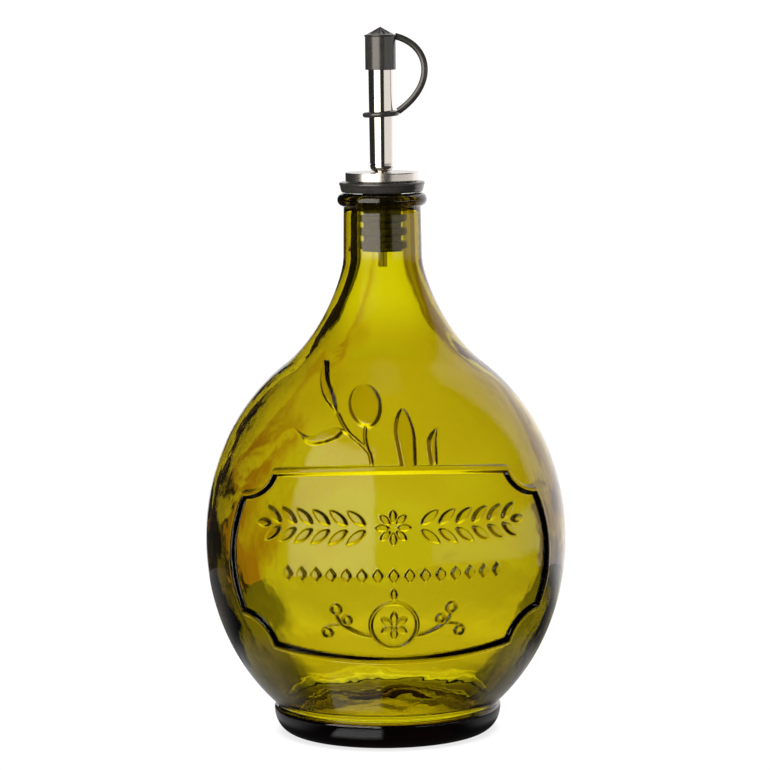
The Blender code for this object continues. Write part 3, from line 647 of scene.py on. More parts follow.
# %% [markdown]
# ## Strokes
# All raised work on the glass is drawn with strokes, as a mould maker would cut it: a line of
# points, each with its half width. A stroke is kept as segments in azimuth and profile length.
# Its cross section is either a rounded ridge or a flat top with soft edges.

# %% The list of strokes
segments = []    # azimuth, length, half width of both ends, height, soft edge (0 for a ridge)


def stroke(points, half_widths, height, soft=0.0, closed=False):
    """Add a stroke through (azimuth, z) points."""
    count = len(points)
    if not hasattr(half_widths, "__len__"):
        half_widths = [half_widths] * count
    last = count if closed else count - 1
    for k in range(last):
        j = (k + 1) % count
        (a0, z0), (a1, z1) = points[k], points[j]
        segments.append((a0, float(length_at(z0)), half_widths[k],
                         a1, float(length_at(z1)), half_widths[j], height, soft))


def arc_azimuth(length, z):
    """Azimuth covered by a length round the bottle at height z."""
    return degrees(length / float(radius_at(z)))


print("strokes are kept in a list of segments")

# %% [markdown]
# ## The panel's frame
# The frame is one closed ridge with hollow corners, like the plate of an old label. Its half is
# drawn from the middle of the top to the middle of the bottom and then mirrored.

# %% Draw the frame
FRAME_HALF = 1.8
FRAME_HEIGHT = 1.5
FRAME_SOFT = 1.25
PANEL_TOP_Z = 103.0
PANEL_CORNER = (42.4, 100.7)
PANEL_CUSP = (54.2, 92.2)
PANEL_SIDE = 57.9
PANEL_LOW_CUSP = (54.4, 50.6)
PANEL_LOW_CORNER = (42.8, 39.8)
PANEL_BOTTOM_Z = 36.2


def panel_path():
    """Loop of the panel's frame, from the middle of its top clockwise."""
    half = []
    corner_az, corner_z = PANEL_CORNER
    cusp_az, cusp_z = PANEL_CUSP
    low_az, low_z = PANEL_LOW_CUSP
    foot_az, foot_z = PANEL_LOW_CORNER
    fine = 24
    for k in range(fine):
        share = k / fine
        half.append((corner_az * share, PANEL_TOP_Z - (PANEL_TOP_Z - corner_z) * share ** 2))
    for k in range(fine):
        angle = pi / 2.0 * k / (fine - 1)
        half.append((cusp_az - (cusp_az - corner_az) * cos(angle),
                     corner_z - (corner_z - cusp_z) * sin(angle)))
    bulge = PANEL_SIDE - (cusp_az + low_az) / 2.0
    for k in range(1, fine):
        share = k / fine
        half.append((cusp_az + (low_az - cusp_az) * share + bulge * 4.0 * share * (1.0 - share),
                     cusp_z + (low_z - cusp_z) * share))
    for k in range(fine):
        angle = pi / 2.0 * k / (fine - 1)
        half.append((low_az - (low_az - foot_az) * sin(angle), foot_z + (low_z - foot_z) * cos(angle)))
    for k in range(1, fine + 1):
        share = 1.0 - k / fine
        half.append((foot_az * share, PANEL_BOTTOM_Z + (foot_z - PANEL_BOTTOM_Z) * share ** 2))
    return half + [(-azimuth, z) for azimuth, z in half[1:-1]][::-1]


stroke(panel_path(), FRAME_HALF, FRAME_HEIGHT, soft=FRAME_SOFT, closed=True)
print("frame segments:", len(segments))

# %% [markdown]
# ## Leaves in a row, petals in a ring
# The garland repeats one leaf, and the rosettes repeat one petal. Geometry Nodes do the
# repeating on a flat sheet: one tree sets pairs of leaning strokes along a line and on both
# sides of the middle, the other sets strokes round a circle. Their edges are then read back as
# strokes and wrapped on the glass, where they carve the relief.

# %% The row tree
row_tree, row_in, row_out = new_geometry_tree("pairs_in_a_row", [
    ("Count", "NodeSocketInt", 6), ("Start", "NodeSocketFloat", 9.6), ("Pitch", "NodeSocketFloat", 6.3),
    ("Lean", "NodeSocketFloat", 0.66), ("Apart", "NodeSocketFloat", 0.7),
    ("Material", "NodeSocketMaterial", None)])
pair = []
for side in (1.0, -1.0):
    shift = maths(row_tree, "MULTIPLY", row_in.outputs["Apart"], side)
    spin = maths(row_tree, "MULTIPLY", row_in.outputs["Lean"], side)
    pair.append(add_node(row_tree, "GeometryNodeTransform", Geometry=row_in,
                         Translation=add_node(row_tree, "ShaderNodeCombineXYZ", Y=shift),
                         Rotation=add_node(row_tree, "ShaderNodeCombineXYZ", Z=spin)))
first_place = add_node(row_tree, "ShaderNodeCombineXYZ", X=row_in.outputs["Start"])
step_on = add_node(row_tree, "ShaderNodeCombineXYZ", X=row_in.outputs["Pitch"])
row_line = add_node(row_tree, "GeometryNodeMeshLine", Count=row_in.outputs["Count"],
                    Start_Location=first_place, Offset=step_on)
row_stamped = add_node(row_tree, "GeometryNodeInstanceOnPoints", Points=row_line,
                       Instance=join(row_tree, *pair))
half_turn = add_node(row_tree, "GeometryNodeTransform", Geometry=row_stamped, Rotation=(0.0, 0.0, pi))
close_tree(row_tree, join(row_tree, row_stamped, half_turn), row_in, row_out, smooth=False)
print("row tree:", len(row_tree.nodes), "nodes")

# %% [markdown]
# The ring tree puts its points on a circle by their index and turns each stroke outwards.

# %% The ring tree
ring_tree, ring_in, ring_out = new_geometry_tree("strokes_in_a_ring", [
    ("Count", "NodeSocketInt", 8), ("Radius", "NodeSocketFloat", 1.6), ("First", "NodeSocketFloat", 0.0),
    ("Material", "NodeSocketMaterial", None)])
ring_dots = add_node(ring_tree, "GeometryNodeMeshLine", Count=ring_in.outputs["Count"],
                     Offset=(0.0, 0.0, 0.0))
ring_index = add_node(ring_tree, "GeometryNodeInputIndex")
ring_angle = maths(ring_tree, "DIVIDE", ring_index, ring_in.outputs["Count"])
ring_angle = maths(ring_tree, "ADD", maths(ring_tree, "MULTIPLY", ring_angle, tau), ring_in.outputs["First"])
ring_spin = add_node(ring_tree, "ShaderNodeCombineXYZ", Z=ring_angle)
ring_x = maths(ring_tree, "MULTIPLY", maths(ring_tree, "COSINE", ring_angle), ring_in.outputs["Radius"])
ring_y = maths(ring_tree, "MULTIPLY", maths(ring_tree, "SINE", ring_angle), ring_in.outputs["Radius"])
ring_place = add_node(ring_tree, "ShaderNodeCombineXYZ", X=ring_x, Y=ring_y)
ring_spread = add_node(ring_tree, "GeometryNodeSetPosition", Geometry=ring_dots, Position=ring_place)
ring_stamped = add_node(ring_tree, "GeometryNodeInstanceOnPoints", Points=ring_spread, Instance=ring_in,
                        Rotation=ring_spin)
close_tree(ring_tree, ring_stamped, ring_in, ring_out, smooth=False)
print("ring tree:", len(ring_tree.nodes), "nodes")

# %% [markdown]
# A leaf's stroke swells quickly from its stalk and runs out to a point. The half widths travel
# with the points as an attribute, so they survive the instancing.

# %% Leaf strokes and how they are stamped
LEAF_STEPS = 9
LINE_HEIGHT = 1.1


def leaf_widths(half_width, count=LEAF_STEPS, least=0.25):
    """Half widths from the stalk to the tip."""
    shares = [k / (count - 1) for k in range(count)]
    return [max(least, half_width * sin(pi * share ** 0.85) ** 0.8) for share in shares]


def flat_stroke(name, length, widths):
    """Straight stroke along X on the flat sheet, with its half widths as an attribute."""
    count = len(widths)
    mesh = line_mesh(name, [(length * k / (count - 1), 0.0, 0.0) for k in range(count)])
    layer = mesh.attributes.new("half_width", "FLOAT", "POINT")
    layer.data.foreach_set("value", widths)
    return mesh


def stamp(flat_mesh, azimuth, z, height, soft):
    """Wrap the strokes of a flat mesh on the glass, with its origin at (azimuth, z)."""
    layer = flat_mesh.attributes["half_width"].data
    for edge in flat_mesh.edges:
        ends = []
        for vertex in edge.vertices:
            x, y, _ = flat_mesh.vertices[vertex].co
            ends += [azimuth + arc_azimuth(x, z), float(length_at(z + y)), layer[vertex].value]
        segments.append((*ends, height, soft))


print("leaf widths:", [round(width, 2) for width in leaf_widths(1.0)])

# %% [markdown]
# The garland has six pairs of leaves on each side, a single leaf at each end and a rosette of
# eight petals in the middle.

# %% Stamp the garland and its rosette
GARLAND_Z = 83.6
GARLAND_PAIRS = 6
GARLAND_START = 9.6
GARLAND_PITCH = 6.3
GARLAND_LEAN = radians(38.0)
GARLAND_SOFT = 0.95
garland_leaf = flat_stroke("garland_leaf", 8.8, leaf_widths(1.85))
leaves = run_tree("garland", garland_leaf, row_tree, Count=GARLAND_PAIRS, Start=GARLAND_START,
                  Pitch=GARLAND_PITCH, Lean=GARLAND_LEAN, Apart=0.7)
stamp(leaves, 0.0, GARLAND_Z, LINE_HEIGHT, GARLAND_SOFT)
end_leaf = flat_stroke("end_leaf", 7.0, leaf_widths(1.7))
end_start = GARLAND_START + GARLAND_PITCH * GARLAND_PAIRS - 2.0
end_leaves = run_tree("garland_ends", end_leaf, row_tree, Count=1, Start=end_start, Pitch=1.0, Lean=0.0,
                      Apart=0.0)
stamp(end_leaves, 0.0, GARLAND_Z, LINE_HEIGHT, GARLAND_SOFT)
petal = flat_stroke("petal", 4.8, leaf_widths(1.5))
rosette = run_tree("rosette", petal, ring_tree, Count=8, Radius=1.6, First=0.0)
stamp(rosette, 0.0, GARLAND_Z, LINE_HEIGHT, 0.8)
print("segments with the garland:", len(segments))

# %% [markdown]
# The lozenges under the garland are short upright strokes whose width grows to the middle and
# shrinks again. There are only fifteen of them on one line, so a plain loop draws them.

# %% Draw the lozenges
LOZENGE_Z = 67.0
LOZENGE_PITCH = 5.5
LOZENGE_LENGTH = 6.2
LOZENGE_HALF_WIDTH = 1.9
LOZENGES_EACH_SIDE = 7
LOZENGE_STEPS = 8
for k in range(-LOZENGES_EACH_SIDE, LOZENGES_EACH_SIDE + 1):
    azimuth = arc_azimuth(LOZENGE_PITCH * k, LOZENGE_Z)
    lozenge_path = []
    lozenge_widths = []
    for j in range(LOZENGE_STEPS + 1):
        share = j / LOZENGE_STEPS
        lozenge_path.append((azimuth, LOZENGE_Z + LOZENGE_LENGTH * (share - 0.5)))
        lozenge_widths.append(max(0.2, LOZENGE_HALF_WIDTH * (1.0 - abs(2.0 * share - 1.0))))
    stroke(lozenge_path, lozenge_widths, LINE_HEIGHT, soft=0.7)
print("segments with garland and lozenges:", len(segments))

# %% [markdown]
# ## Medallion and scrolls
# Below the rows sits a ring with a small rosette in it, and a single leaf stands on the ring.

# %% Draw the medallion
MEDAL_CENTRE = (0.0, 49.3)
MEDAL_RADIUS = 8.1


def circle_path(centre, radius, count):
    """Points of a circle on the glass."""
    points = []
    for k in range(count):
        angle = tau * k / count
        points.append((centre[0] + arc_azimuth(radius * cos(angle), centre[1]),
                       centre[1] + radius * sin(angle)))
    return points


stroke(circle_path(MEDAL_CENTRE, MEDAL_RADIUS, 48), 0.85, LINE_HEIGHT, closed=True)
medal_petal = flat_stroke("medal_petal", 4.4, leaf_widths(1.4))
medal = run_tree("medal_rosette", medal_petal, ring_tree, Count=6, Radius=0.8, First=pi / 2.0)
stamp(medal, *MEDAL_CENTRE, LINE_HEIGHT, 0.6)
stroke([(0.0, 58.6 + 4.2 * k / 8) for k in range(9)], leaf_widths(1.2), LINE_HEIGHT, soft=0.6)
print("segments with the medallion:", len(segments))

# %% [markdown]
# On each side of the ring a scroll swells along its stem and forks into curls. A curve through a
# few measured points is smoother than many points set by hand, so a helper runs one through them.

# %% Draw the scrolls
def smooth_path(points, count):
    """Smooth curve through the given points."""
    ends = [Vector(points[0]) * 2.0 - Vector(points[1])] + [Vector(p) for p in points]
    ends.append(Vector(points[-1]) * 2.0 - Vector(points[-2]))
    made = []
    for k in range(count):
        where = (len(points) - 1) * k / (count - 1)
        cell = min(int(where), len(points) - 2)
        t = where - cell
        a, b, c, d = ends[cell:cell + 4]
        point = 0.5 * (2.0 * b + (c - a) * t + (2.0 * a - 5.0 * b + 4.0 * c - d) * t * t
                       + (3.0 * b - a - 3.0 * c + d) * t ** 3)
        made.append((point.x, point.y))
    return made


SCROLL_STEM = [(7.3, 45.2), (10.0, 45.8), (13.2, 47.2), (16.0, 49.0), (17.6, 51.0), (18.4, 53.2)]
SCROLL_BRANCH = [(15.0, 48.6), (18.0, 49.2), (21.0, 48.6)]
CURLS = [((18.3, 55.0), 1.7), ((14.9, 51.2), 1.4), ((21.8, 46.4), 1.6)]
for side in (-1.0, 1.0):
    stem = smooth_path([(side * a, z) for a, z in SCROLL_STEM], 25)
    stroke(stem, [1.25 - 0.75 * abs(k / 12 - 1.0) for k in range(25)], LINE_HEIGHT)
    stroke(smooth_path([(side * a, z) for a, z in SCROLL_BRANCH], 9), 0.55, LINE_HEIGHT)
    for (azimuth, z), radius in CURLS:
        stroke(circle_path((side * azimuth, z), radius, 20), 0.6, LINE_HEIGHT, closed=True)
print("segments with the scrolls:", len(segments))

# %% [markdown]
# ## Olive sprig
# Above the panel grows a sprig: one olive, four long leaves and thin stems. All have flat
# tops with soft edges, so only their outlines catch the light, as on moulded glass.

# %% Draw the sprig
def sprig_leaf(path, half_widths, height, steps=25):
    """Leaf along a smooth path of (azimuth, z) points, with half widths spread evenly along it."""
    shares = np.linspace(0.0, 1.0, steps)
    widths = np.interp(shares, np.linspace(0.0, 1.0, len(half_widths)), half_widths)
    stroke(smooth_path(path, steps), [float(w) for w in widths], height, soft=1.5)


LEAF_HEIGHT = 1.6
sprig_leaf([(-21.4, 120.1), (-24.0, 123.0), (-26.8, 125.4), (-30.1, 127.9), (-33.3, 130.3), (-37.6, 133.7),
            (-41.5, 136.8)], [0.5, 1.4, 2.1, 2.3, 2.1, 1.9, 1.5], LEAF_HEIGHT)
sprig_leaf([(-18.7, 115.5), (-21.7, 114.6), (-25.0, 113.5), (-28.4, 112.4), (-31.7, 112.3), (-35.3, 113.8),
            (-39.0, 115.5)], [1.4, 2.8, 3.0, 2.4, 1.6, 0.8, 0.4], LEAF_HEIGHT)
sprig_leaf([(5.6, 104.8), (5.3, 112.1), (5.1, 116.0), (5.1, 119.5), (5.3, 122.6)],
           [3.1, 3.5, 3.8, 3.8, 3.5, 2.9, 2.1, 0.9], LEAF_HEIGHT)
sprig_leaf([(14.4, 105.0), (14.7, 110.1), (15.6, 113.0), (18.1, 116.2)],
           [1.7, 2.0, 2.0, 1.6, 0.6], LEAF_HEIGHT)
olive_path = [(-9.6 - 4.6 * (k / 24 - 0.33), 117.6 + 11.8 * k / 24) for k in range(25)]
olive_widths = [max(0.6, 6.0 * sqrt(max(0.0, 1.0 - (2.0 * (k / 24) ** 1.15 - 1.0) ** 2))) for k in range(25)]
stroke(olive_path, olive_widths, 1.8, soft=1.7)
STEMS = [[(-6.9, 105.0), (-7.4, 107.5), (-8.8, 110.5), (-9.6, 114.0), (-9.6, 117.8)],
         [(-8.6, 110.2), (-13.5, 113.0), (-18.0, 117.0), (-21.6, 121.0)],
         [(-7.6, 108.4), (-11.0, 111.4), (-15.2, 114.4), (-19.4, 115.8)]]
for path in STEMS:
    stroke(smooth_path(path, 17), 0.75, LINE_HEIGHT)
print("all segments:", len(segments))

# %% [markdown]
# ## Carve the relief on a fine lattice
# The outer glass is a sheet in azimuth and profile length. On a fine, regular lattice each
# stroke raises the points under it. Where strokes cross, the higher one wins, so they melt into
# one relief as in a mould.

# %% Heights on the lattice
COLUMNS = 1280
COARSE = 8
FINE_STEP = 0.32
ROWS = COARSE * int(round(outer_length[-1] / FINE_STEP / COARSE))
row_length = np.linspace(0.0, outer_length[-1], ROWS + 1)
row_radius = np.interp(row_length, outer_length, outer[:, 0])
row_z = np.interp(row_length, outer_length, outer[:, 1])
column_azimuth = np.linspace(-180.0, 180.0, COLUMNS + 1)
length_step = row_length[1]
azimuth_step = 360.0 / COLUMNS
relief = np.zeros((ROWS + 1, COLUMNS + 1))
FAR_AWAY = 99.0
edge_distance = np.full((ROWS + 1, COLUMNS + 1), FAR_AWAY)
NEAR = 3.4


def ridge_shape(x):
    """Rounded ridge: 1 in the middle, running out level at the edge."""
    return (1.0 - np.clip(x, 0.0, 1.0) ** 2) ** 2


def plateau_shape(inside, soft):
    """Flat top with a soft edge: inside is the distance from the edge, positive within."""
    t = np.clip(inside / soft, 0.0, 1.0)
    return t * t * (3.0 - 2.0 * t)


for a0, s0, w0, a1, s1, w1, top_height, soft in segments:
    wide = max(w0, w1)
    radius = float(np.interp((s0 + s1) / 2.0, outer_length, outer[:, 0])) * pi / 180.0
    reach_az = (wide + NEAR) / radius
    i0 = max(0, int((min(s0, s1) - wide - NEAR) / length_step))
    i1 = min(ROWS, int(ceil((max(s0, s1) + wide + NEAR) / length_step)))
    j0 = max(0, int((min(a0, a1) - reach_az + 180.0) / azimuth_step))
    j1 = min(COLUMNS, int(ceil((max(a0, a1) + reach_az + 180.0) / azimuth_step)))
    y = row_length[i0:i1 + 1, None] - s0
    x = (column_azimuth[None, j0:j1 + 1] - a0) * radius
    dx, dy = (a1 - a0) * radius, s1 - s0
    share = np.clip((x * dx + y * dy) / (dx * dx + dy * dy + 1e-12), 0.0, 1.0)
    distance = np.hypot(x - dx * share, y - dy * share)
    width = w0 + (w1 - w0) * share
    window = (slice(i0, i1 + 1), slice(j0, j1 + 1))
    edge_distance[window] = np.minimum(edge_distance[window], distance - width)
    if soft:
        rise_here = top_height * plateau_shape(width - distance, soft) * np.minimum(1.0, width / soft)
    else:
        rise_here = top_height * ridge_shape(distance / width)
    relief[window] = np.maximum(relief[window], rise_here)

print("lattice", ROWS + 1, "x", COLUMNS + 1, "highest relief %.2f mm" % relief.max())

# %% [markdown]
# From the raised sheet we also take exact normals, because glass shows every small kink in its
# shading.

# %% Points and normals of the raised sheet
slope = np.gradient(np.stack([row_radius, row_z], axis=1), row_length, axis=0)
slope /= np.linalg.norm(slope, axis=1)[:, None]
out_radius, out_z = slope[:, 1], -slope[:, 0]
column_angle = np.radians(column_azimuth)
radius_field = row_radius[:, None] + out_radius[:, None] * relief
lattice_points = np.stack([radius_field * np.sin(column_angle), -radius_field * np.cos(column_angle),
                           row_z[:, None] + out_z[:, None] * relief], axis=2)
tangent_up = np.gradient(lattice_points, axis=0)
tangent_round = np.gradient(lattice_points, axis=1)
normals = np.cross(tangent_round, tangent_up)
normals /= np.linalg.norm(normals, axis=2)[:, :, None]
print("belly radius %.1f mm" % radius_field.max())

# %% [markdown]
# ## Keep only the points that matter
# A lattice this fine would be far too heavy. Away from the relief every eighth point is enough,
# so points are kept by their distance from the nearest stroke, and a Delaunay triangulation
# joins them. The result is dense along the ornaments and light everywhere else.

# %% Triangulate the outer glass
i_grid, j_grid = np.meshgrid(np.arange(ROWS + 1), np.arange(COLUMNS + 1), indexing="ij")


def every(step):
    """Lattice points on every step-th row and column."""
    return (i_grid % step == 0) & (j_grid % step == 0)


keep = every(COARSE) | (every(4) & (edge_distance < 3.0)) | (every(2) & (edge_distance < 1.1))
keep |= (edge_distance < 0.33) & (edge_distance > -2.2)
keep[1:COARSE] = False
keep[-COARSE:-1] = False
keep[0] = keep[-1] = False
keep[0, ::COARSE] = keep[-1, ::COARSE] = True
kept_i, kept_j = np.nonzero(keep)
flat = [Vector((float(j), float(i))) for i, j in zip(kept_i, kept_j)]
found, _, faces, _, _, _ = delaunay_2d_cdt(flat, [], [], 0, 1e-5)
found_j = np.array([round(v.x) for v in found])
found_i = np.array([round(v.y) for v in found])
wrapped_j = found_j % COLUMNS
keys = found_i * COLUMNS + wrapped_j
unique_keys, point_of = np.unique(keys, return_inverse=True)
sheet_i, sheet_j = unique_keys // COLUMNS, unique_keys % COLUMNS
sheet_points = lattice_points[sheet_i, sheet_j] * MM
sheet_normals = normals[sheet_i, sheet_j].copy()
sheet_normals[(sheet_i == 0) | (sheet_i == ROWS)] = 0.0
sheet_faces = [tuple(int(point_of[v]) for v in face) for face in faces]
print("outer glass:", len(unique_keys), "points,", len(sheet_faces), "triangles")

# %% [markdown]
# ## The inside, the foot and the lip
# The rest of the glass has no ornament, so the turning tree makes it: the underside, the foot
# ring, the lip, the bore and the inner wall. We begin with the underside, the foot and the lip.

# %% Profiles of the plain parts
MOUTH_Z = 195.4
LIP_RADIUS = 16.15
BORE_RADIUS = 9.25
FOOT_RADIUS = 41.15
FOOT_BULGE_Z = 8.85
CONTACT_OUTER_RADIUS = 34.1
CONTACT_INNER_RADIUS = 31.5
PUNT_Z = 4.4
FLOOR_Z = 8.4
INNER_CORNER_RADIUS = 36.5
BELLY_WALL = 4.0
GLASS_SIDES = COLUMNS // COARSE

underside = smooth_path([(0.0, PUNT_Z), (14.0, PUNT_Z - 0.5), (25.0, PUNT_Z - 2.1), (31.0, 0.35)], 22)
underside[0] = (0.0, PUNT_Z)
underside += [(CONTACT_INNER_RADIUS, 0.08), (CONTACT_INNER_RADIUS + 0.4, 0.0),
              (CONTACT_OUTER_RADIUS - 0.3, 0.0)]
foot = []
for k in range(17):
    foot_angle = pi / 2.0 * k / 16
    foot.append((CONTACT_OUTER_RADIUS + (FOOT_RADIUS - CONTACT_OUTER_RADIUS) * sin(foot_angle),
                 FOOT_BULGE_Z * (1.0 - cos(foot_angle))))
crease_z = float(row_z[0])
foot += [(FOOT_RADIUS - 0.15, FOOT_BULGE_Z + 0.45), (FOOT_RADIUS - 0.7, FOOT_BULGE_Z + 0.85),
         (CREASE_RADIUS + 0.35, crease_z - 0.12), (CREASE_RADIUS, crease_z)]
bottom_part = underside + foot
lip_rise = (MOUTH_Z - LIP_BOTTOM_Z) / 2.0
lip = [(NECK_TOP_RADIUS, LIP_BOTTOM_Z - 0.3), (NECK_TOP_RADIUS + 0.25, LIP_BOTTOM_Z - 0.02)]
for k in range(1, 17):
    lip_angle = -pi / 2.0 + pi * k / 16
    lip.append((LIP_RADIUS - lip_rise * (1.0 - cos(lip_angle)),
                LIP_BOTTOM_Z + lip_rise * (1.0 + sin(lip_angle))))
lip += [(BORE_RADIUS + 0.9, MOUTH_Z), (BORE_RADIUS + 0.35, MOUTH_Z - 0.2), (BORE_RADIUS, MOUTH_Z - 0.8)]
print("profile points:", len(bottom_part), "below,", len(lip), "on the lip")

# %% [markdown]
# The inner wall follows the outer one at a distance, and near the foot it turns steeply into a
# flat floor. That corner bends light up from the table, which draws the bright line just above
# the foot.

# %% Profile of the inside
inner = []
for k in range(0, ROWS + 1, COARSE):
    z = float(row_z[k])
    share = min(1.0, max(0.0, (z - SHOULDER_Z) / (NECK_Z - SHOULDER_Z)))
    wall = BELLY_WALL + (NECK_RADIUS - BORE_RADIUS - BELLY_WALL) * share
    inner.append((float(row_radius[k] - out_radius[k] * wall), z - float(out_z[k]) * wall))
inner = [point for point in inner if point[0] > INNER_CORNER_RADIUS or point[1] > BELLY_Z]
base_curve = smooth_path([inner[0], (INNER_CORNER_RADIUS, FLOOR_Z + 3.0), (36.4, FLOOR_Z + 1.6),
                          (35.8, FLOOR_Z + 0.6), (33.6, FLOOR_Z), (28.5, FLOOR_Z), (20.0, FLOOR_Z - 0.6),
                          (10.0, FLOOR_Z - 0.3), (0.0, FLOOR_Z)], 48)
base_curve[-1] = (0.0, FLOOR_Z)
top_part = lip + inner[::-1] + base_curve[1:]
print("profile points from the lip to the middle of the inner floor:", len(top_part))

# %% [markdown]
# The inner wall of a blown bottle is never quite even. A few slow waves in it give the mottled,
# liquid look of old glass. They are sums of a few sines with fixed turns and phases, and they
# fade out in the neck, where the stopper has to seal, and on the floor.

# %% Waves on the inner wall
WAVES = [(3, 55.0, 0.10, 0.4), (5, 38.0, 0.08, 2.1), (8, 29.0, 0.06, 4.0), (11, 21.0, 0.05, 1.2),
         (4, -24.0, 0.05, 5.2), (14, -33.0, 0.035, 3.3)]


def wave_depth(azimuth, z):
    """Extra wall thickness in mm at these azimuths and heights."""
    depth = np.zeros_like(z)
    for turns, length, size, phase in WAVES:
        depth += size * np.sin(turns * azimuth + tau * z / length + phase)
    fade = np.clip((162.0 - z) / 30.0, 0.0, 1.0) * np.clip((z - 13.0) / 12.0, 0.0, 1.0)
    return depth * fade


top_mesh = turn("glass_inside", top_part, GLASS_SIDES, green_glass, sharp=None)
coords = np.empty(len(top_mesh.vertices) * 3)
top_mesh.vertices.foreach_get("co", coords)
coords = coords.reshape(-1, 3) / MM
flat_radius = np.hypot(coords[:, 0], coords[:, 1])
inside_wall = (flat_radius < np.interp(coords[:, 2], outer[:, 1], outer[:, 0]) - 2.0) & (coords[:, 2] < 165.0)
extra_wall = wave_depth(np.arctan2(coords[:, 1], coords[:, 0]), coords[:, 2]) * inside_wall
coords[:, :2] *= (1.0 - extra_wall / np.maximum(flat_radius, 1.0))[:, None]
top_mesh.vertices.foreach_set("co", (coords * MM).ravel())
bottom_mesh = turn("glass_foot", bottom_part, GLASS_SIDES, green_glass, sharp=None)
print("waves up to %.2f mm" % np.abs(extra_wall).max())

# %% [markdown]
# ## Join the glass
# The three parts share their rings of points, so merging doubles makes one closed skin. The
# exact normals of the carved sheet are kept as custom normals.

# %% One closed bottle
sheet_mesh = bpy.data.meshes.new("glass_sheet")
sheet_mesh.from_pydata([tuple(p) for p in sheet_points], [], sheet_faces)
normal_layer = sheet_mesh.attributes.new("exact_normal", "FLOAT_VECTOR", "POINT")
normal_layer.data.foreach_set("vector", sheet_normals.ravel())
shape = bmesh.new()
shape.from_mesh(sheet_mesh)
turned_by = Matrix.Rotation(-pi / 2.0, 4, "Z")
for part in (top_mesh, bottom_mesh):
    part.transform(turned_by)
    shape.from_mesh(part)
bmesh.ops.remove_doubles(shape, verts=shape.verts[:], dist=0.00001)
bmesh.ops.recalc_face_normals(shape, faces=shape.faces[:])
open_edges = sum(1 for e in shape.edges if len(e.link_faces) != 2)
bottle_mesh = bpy.data.meshes.new("bottle_glass")
shape.to_mesh(bottle_mesh)
shape.free()
bottle_mesh.materials.clear()
bottle_mesh.materials.append(green_glass)
bottle_mesh.polygons.foreach_set("material_index", [0] * len(bottle_mesh.polygons))
bottle_mesh.shade_smooth()
exact = np.zeros(len(bottle_mesh.vertices) * 3)
bottle_mesh.attributes["exact_normal"].data.foreach_get("vector", exact)
bottle_mesh.attributes.remove(bottle_mesh.attributes["exact_normal"])
bottle_mesh.normals_split_custom_set_from_vertices([tuple(n) for n in exact.reshape(-1, 3)])
print("open edges:", open_edges)
show("bottle_glass", bottle_mesh, "green_glass", "bottle")

# %% [markdown]
# ## Stopper
# The stopper is soft rubber: a plug with three fins that squeeze into the bore, and a flange
# that lies on the lip. Between the fins it narrows to a waist. Each edge gets a small round,
# because an edge in rubber is never sharp and a round one catches a thin line of light.

# %% Turn the stopper
FIT_GAP = 0.3
PLUG_BOTTOM_Z = 174.6
PLUG_CORE_RADIUS = 8.0
PLUG_WAIST_RADIUS = 6.8
FIN_THICKNESS = 2.8
FIN_PITCH = 4.9
TOP_FIN_Z = 186.6
FIN_COUNT = 3
FLANGE_TOP_Z = 199.3
FLANGE_RADIUS = 15.4
SHANK_RADIUS = 2.6
SHANK_BOTTOM_Z = 190.6
BREATHER_RADIUS = 1.6
BREATHER_BOTTOM_Z = 168.6
BREATHER_TOP_Z = 182.0
RUBBER_SIDES = 96

air_hole = BREATHER_RADIUS + FIT_GAP
shank_hole = SHANK_RADIUS + FIT_GAP
plug = [(0.0, BREATHER_TOP_Z + FIT_GAP), (air_hole, BREATHER_TOP_Z + FIT_GAP),
        (air_hole, PLUG_BOTTOM_Z + 0.2), (air_hole + 0.2, PLUG_BOTTOM_Z),
        (PLUG_CORE_RADIUS - 0.9, PLUG_BOTTOM_Z), (PLUG_CORE_RADIUS - 0.6, PLUG_BOTTOM_Z + 0.1)]
fin_radius = BORE_RADIUS - FIT_GAP
for k in reversed(range(FIN_COUNT)):
    middle = TOP_FIN_Z - FIN_PITCH * k
    half = FIN_THICKNESS / 2.0
    plug += [(PLUG_WAIST_RADIUS, middle - half - 0.4), (fin_radius - 0.25, middle - half + 0.35),
             (fin_radius, middle - half + 0.7), (fin_radius, middle + half - 0.45),
             (fin_radius - 0.25, middle + half - 0.15), (PLUG_WAIST_RADIUS, middle + half)]
under_flange = MOUTH_Z + FIT_GAP
plug += [(PLUG_WAIST_RADIUS, under_flange - 0.4), (PLUG_WAIST_RADIUS + 0.4, under_flange),
         (14.2, under_flange), (14.5, under_flange + 0.1), (14.7, under_flange + 0.4),
         (15.0, under_flange + 1.6), (FLANGE_RADIUS - 0.2, under_flange + 2.5),
         (FLANGE_RADIUS - 0.05, FLANGE_TOP_Z - 0.9), (FLANGE_RADIUS, FLANGE_TOP_Z - 0.5),
         (FLANGE_RADIUS - 0.1, FLANGE_TOP_Z - 0.15), (FLANGE_RADIUS - 0.4, FLANGE_TOP_Z),
         (shank_hole + 0.2, FLANGE_TOP_Z), (shank_hole, FLANGE_TOP_Z - 0.2),
         (shank_hole, SHANK_BOTTOM_Z - FIT_GAP), (0.0, SHANK_BOTTOM_Z - FIT_GAP)]
show("stopper_rubber", turn("stopper_rubber", plug, RUBBER_SIDES, black_rubber, 50.0), "black_rubber",
     "stopper")

# %% [markdown]
# ## Pourer
# The steel parts are turned too, first the disc on the flange. Its outline has an extra point
# beside each round, which keeps the smooth shading of the straight rim from leaning into it.

# %% Turn the disc
DISC_RADIUS = 13.1
DISC_TOP_Z = 202.8
SPOUT_FOOT_RADIUS = 3.0
SPOUT_GROOVE_Z = 205.6
SPOUT_RADIUS_LOW = 4.2
SPOUT_RADIUS_TOP = 4.5
SPOUT_TOP_Z = 250.5
STEEL_SIDES = 96

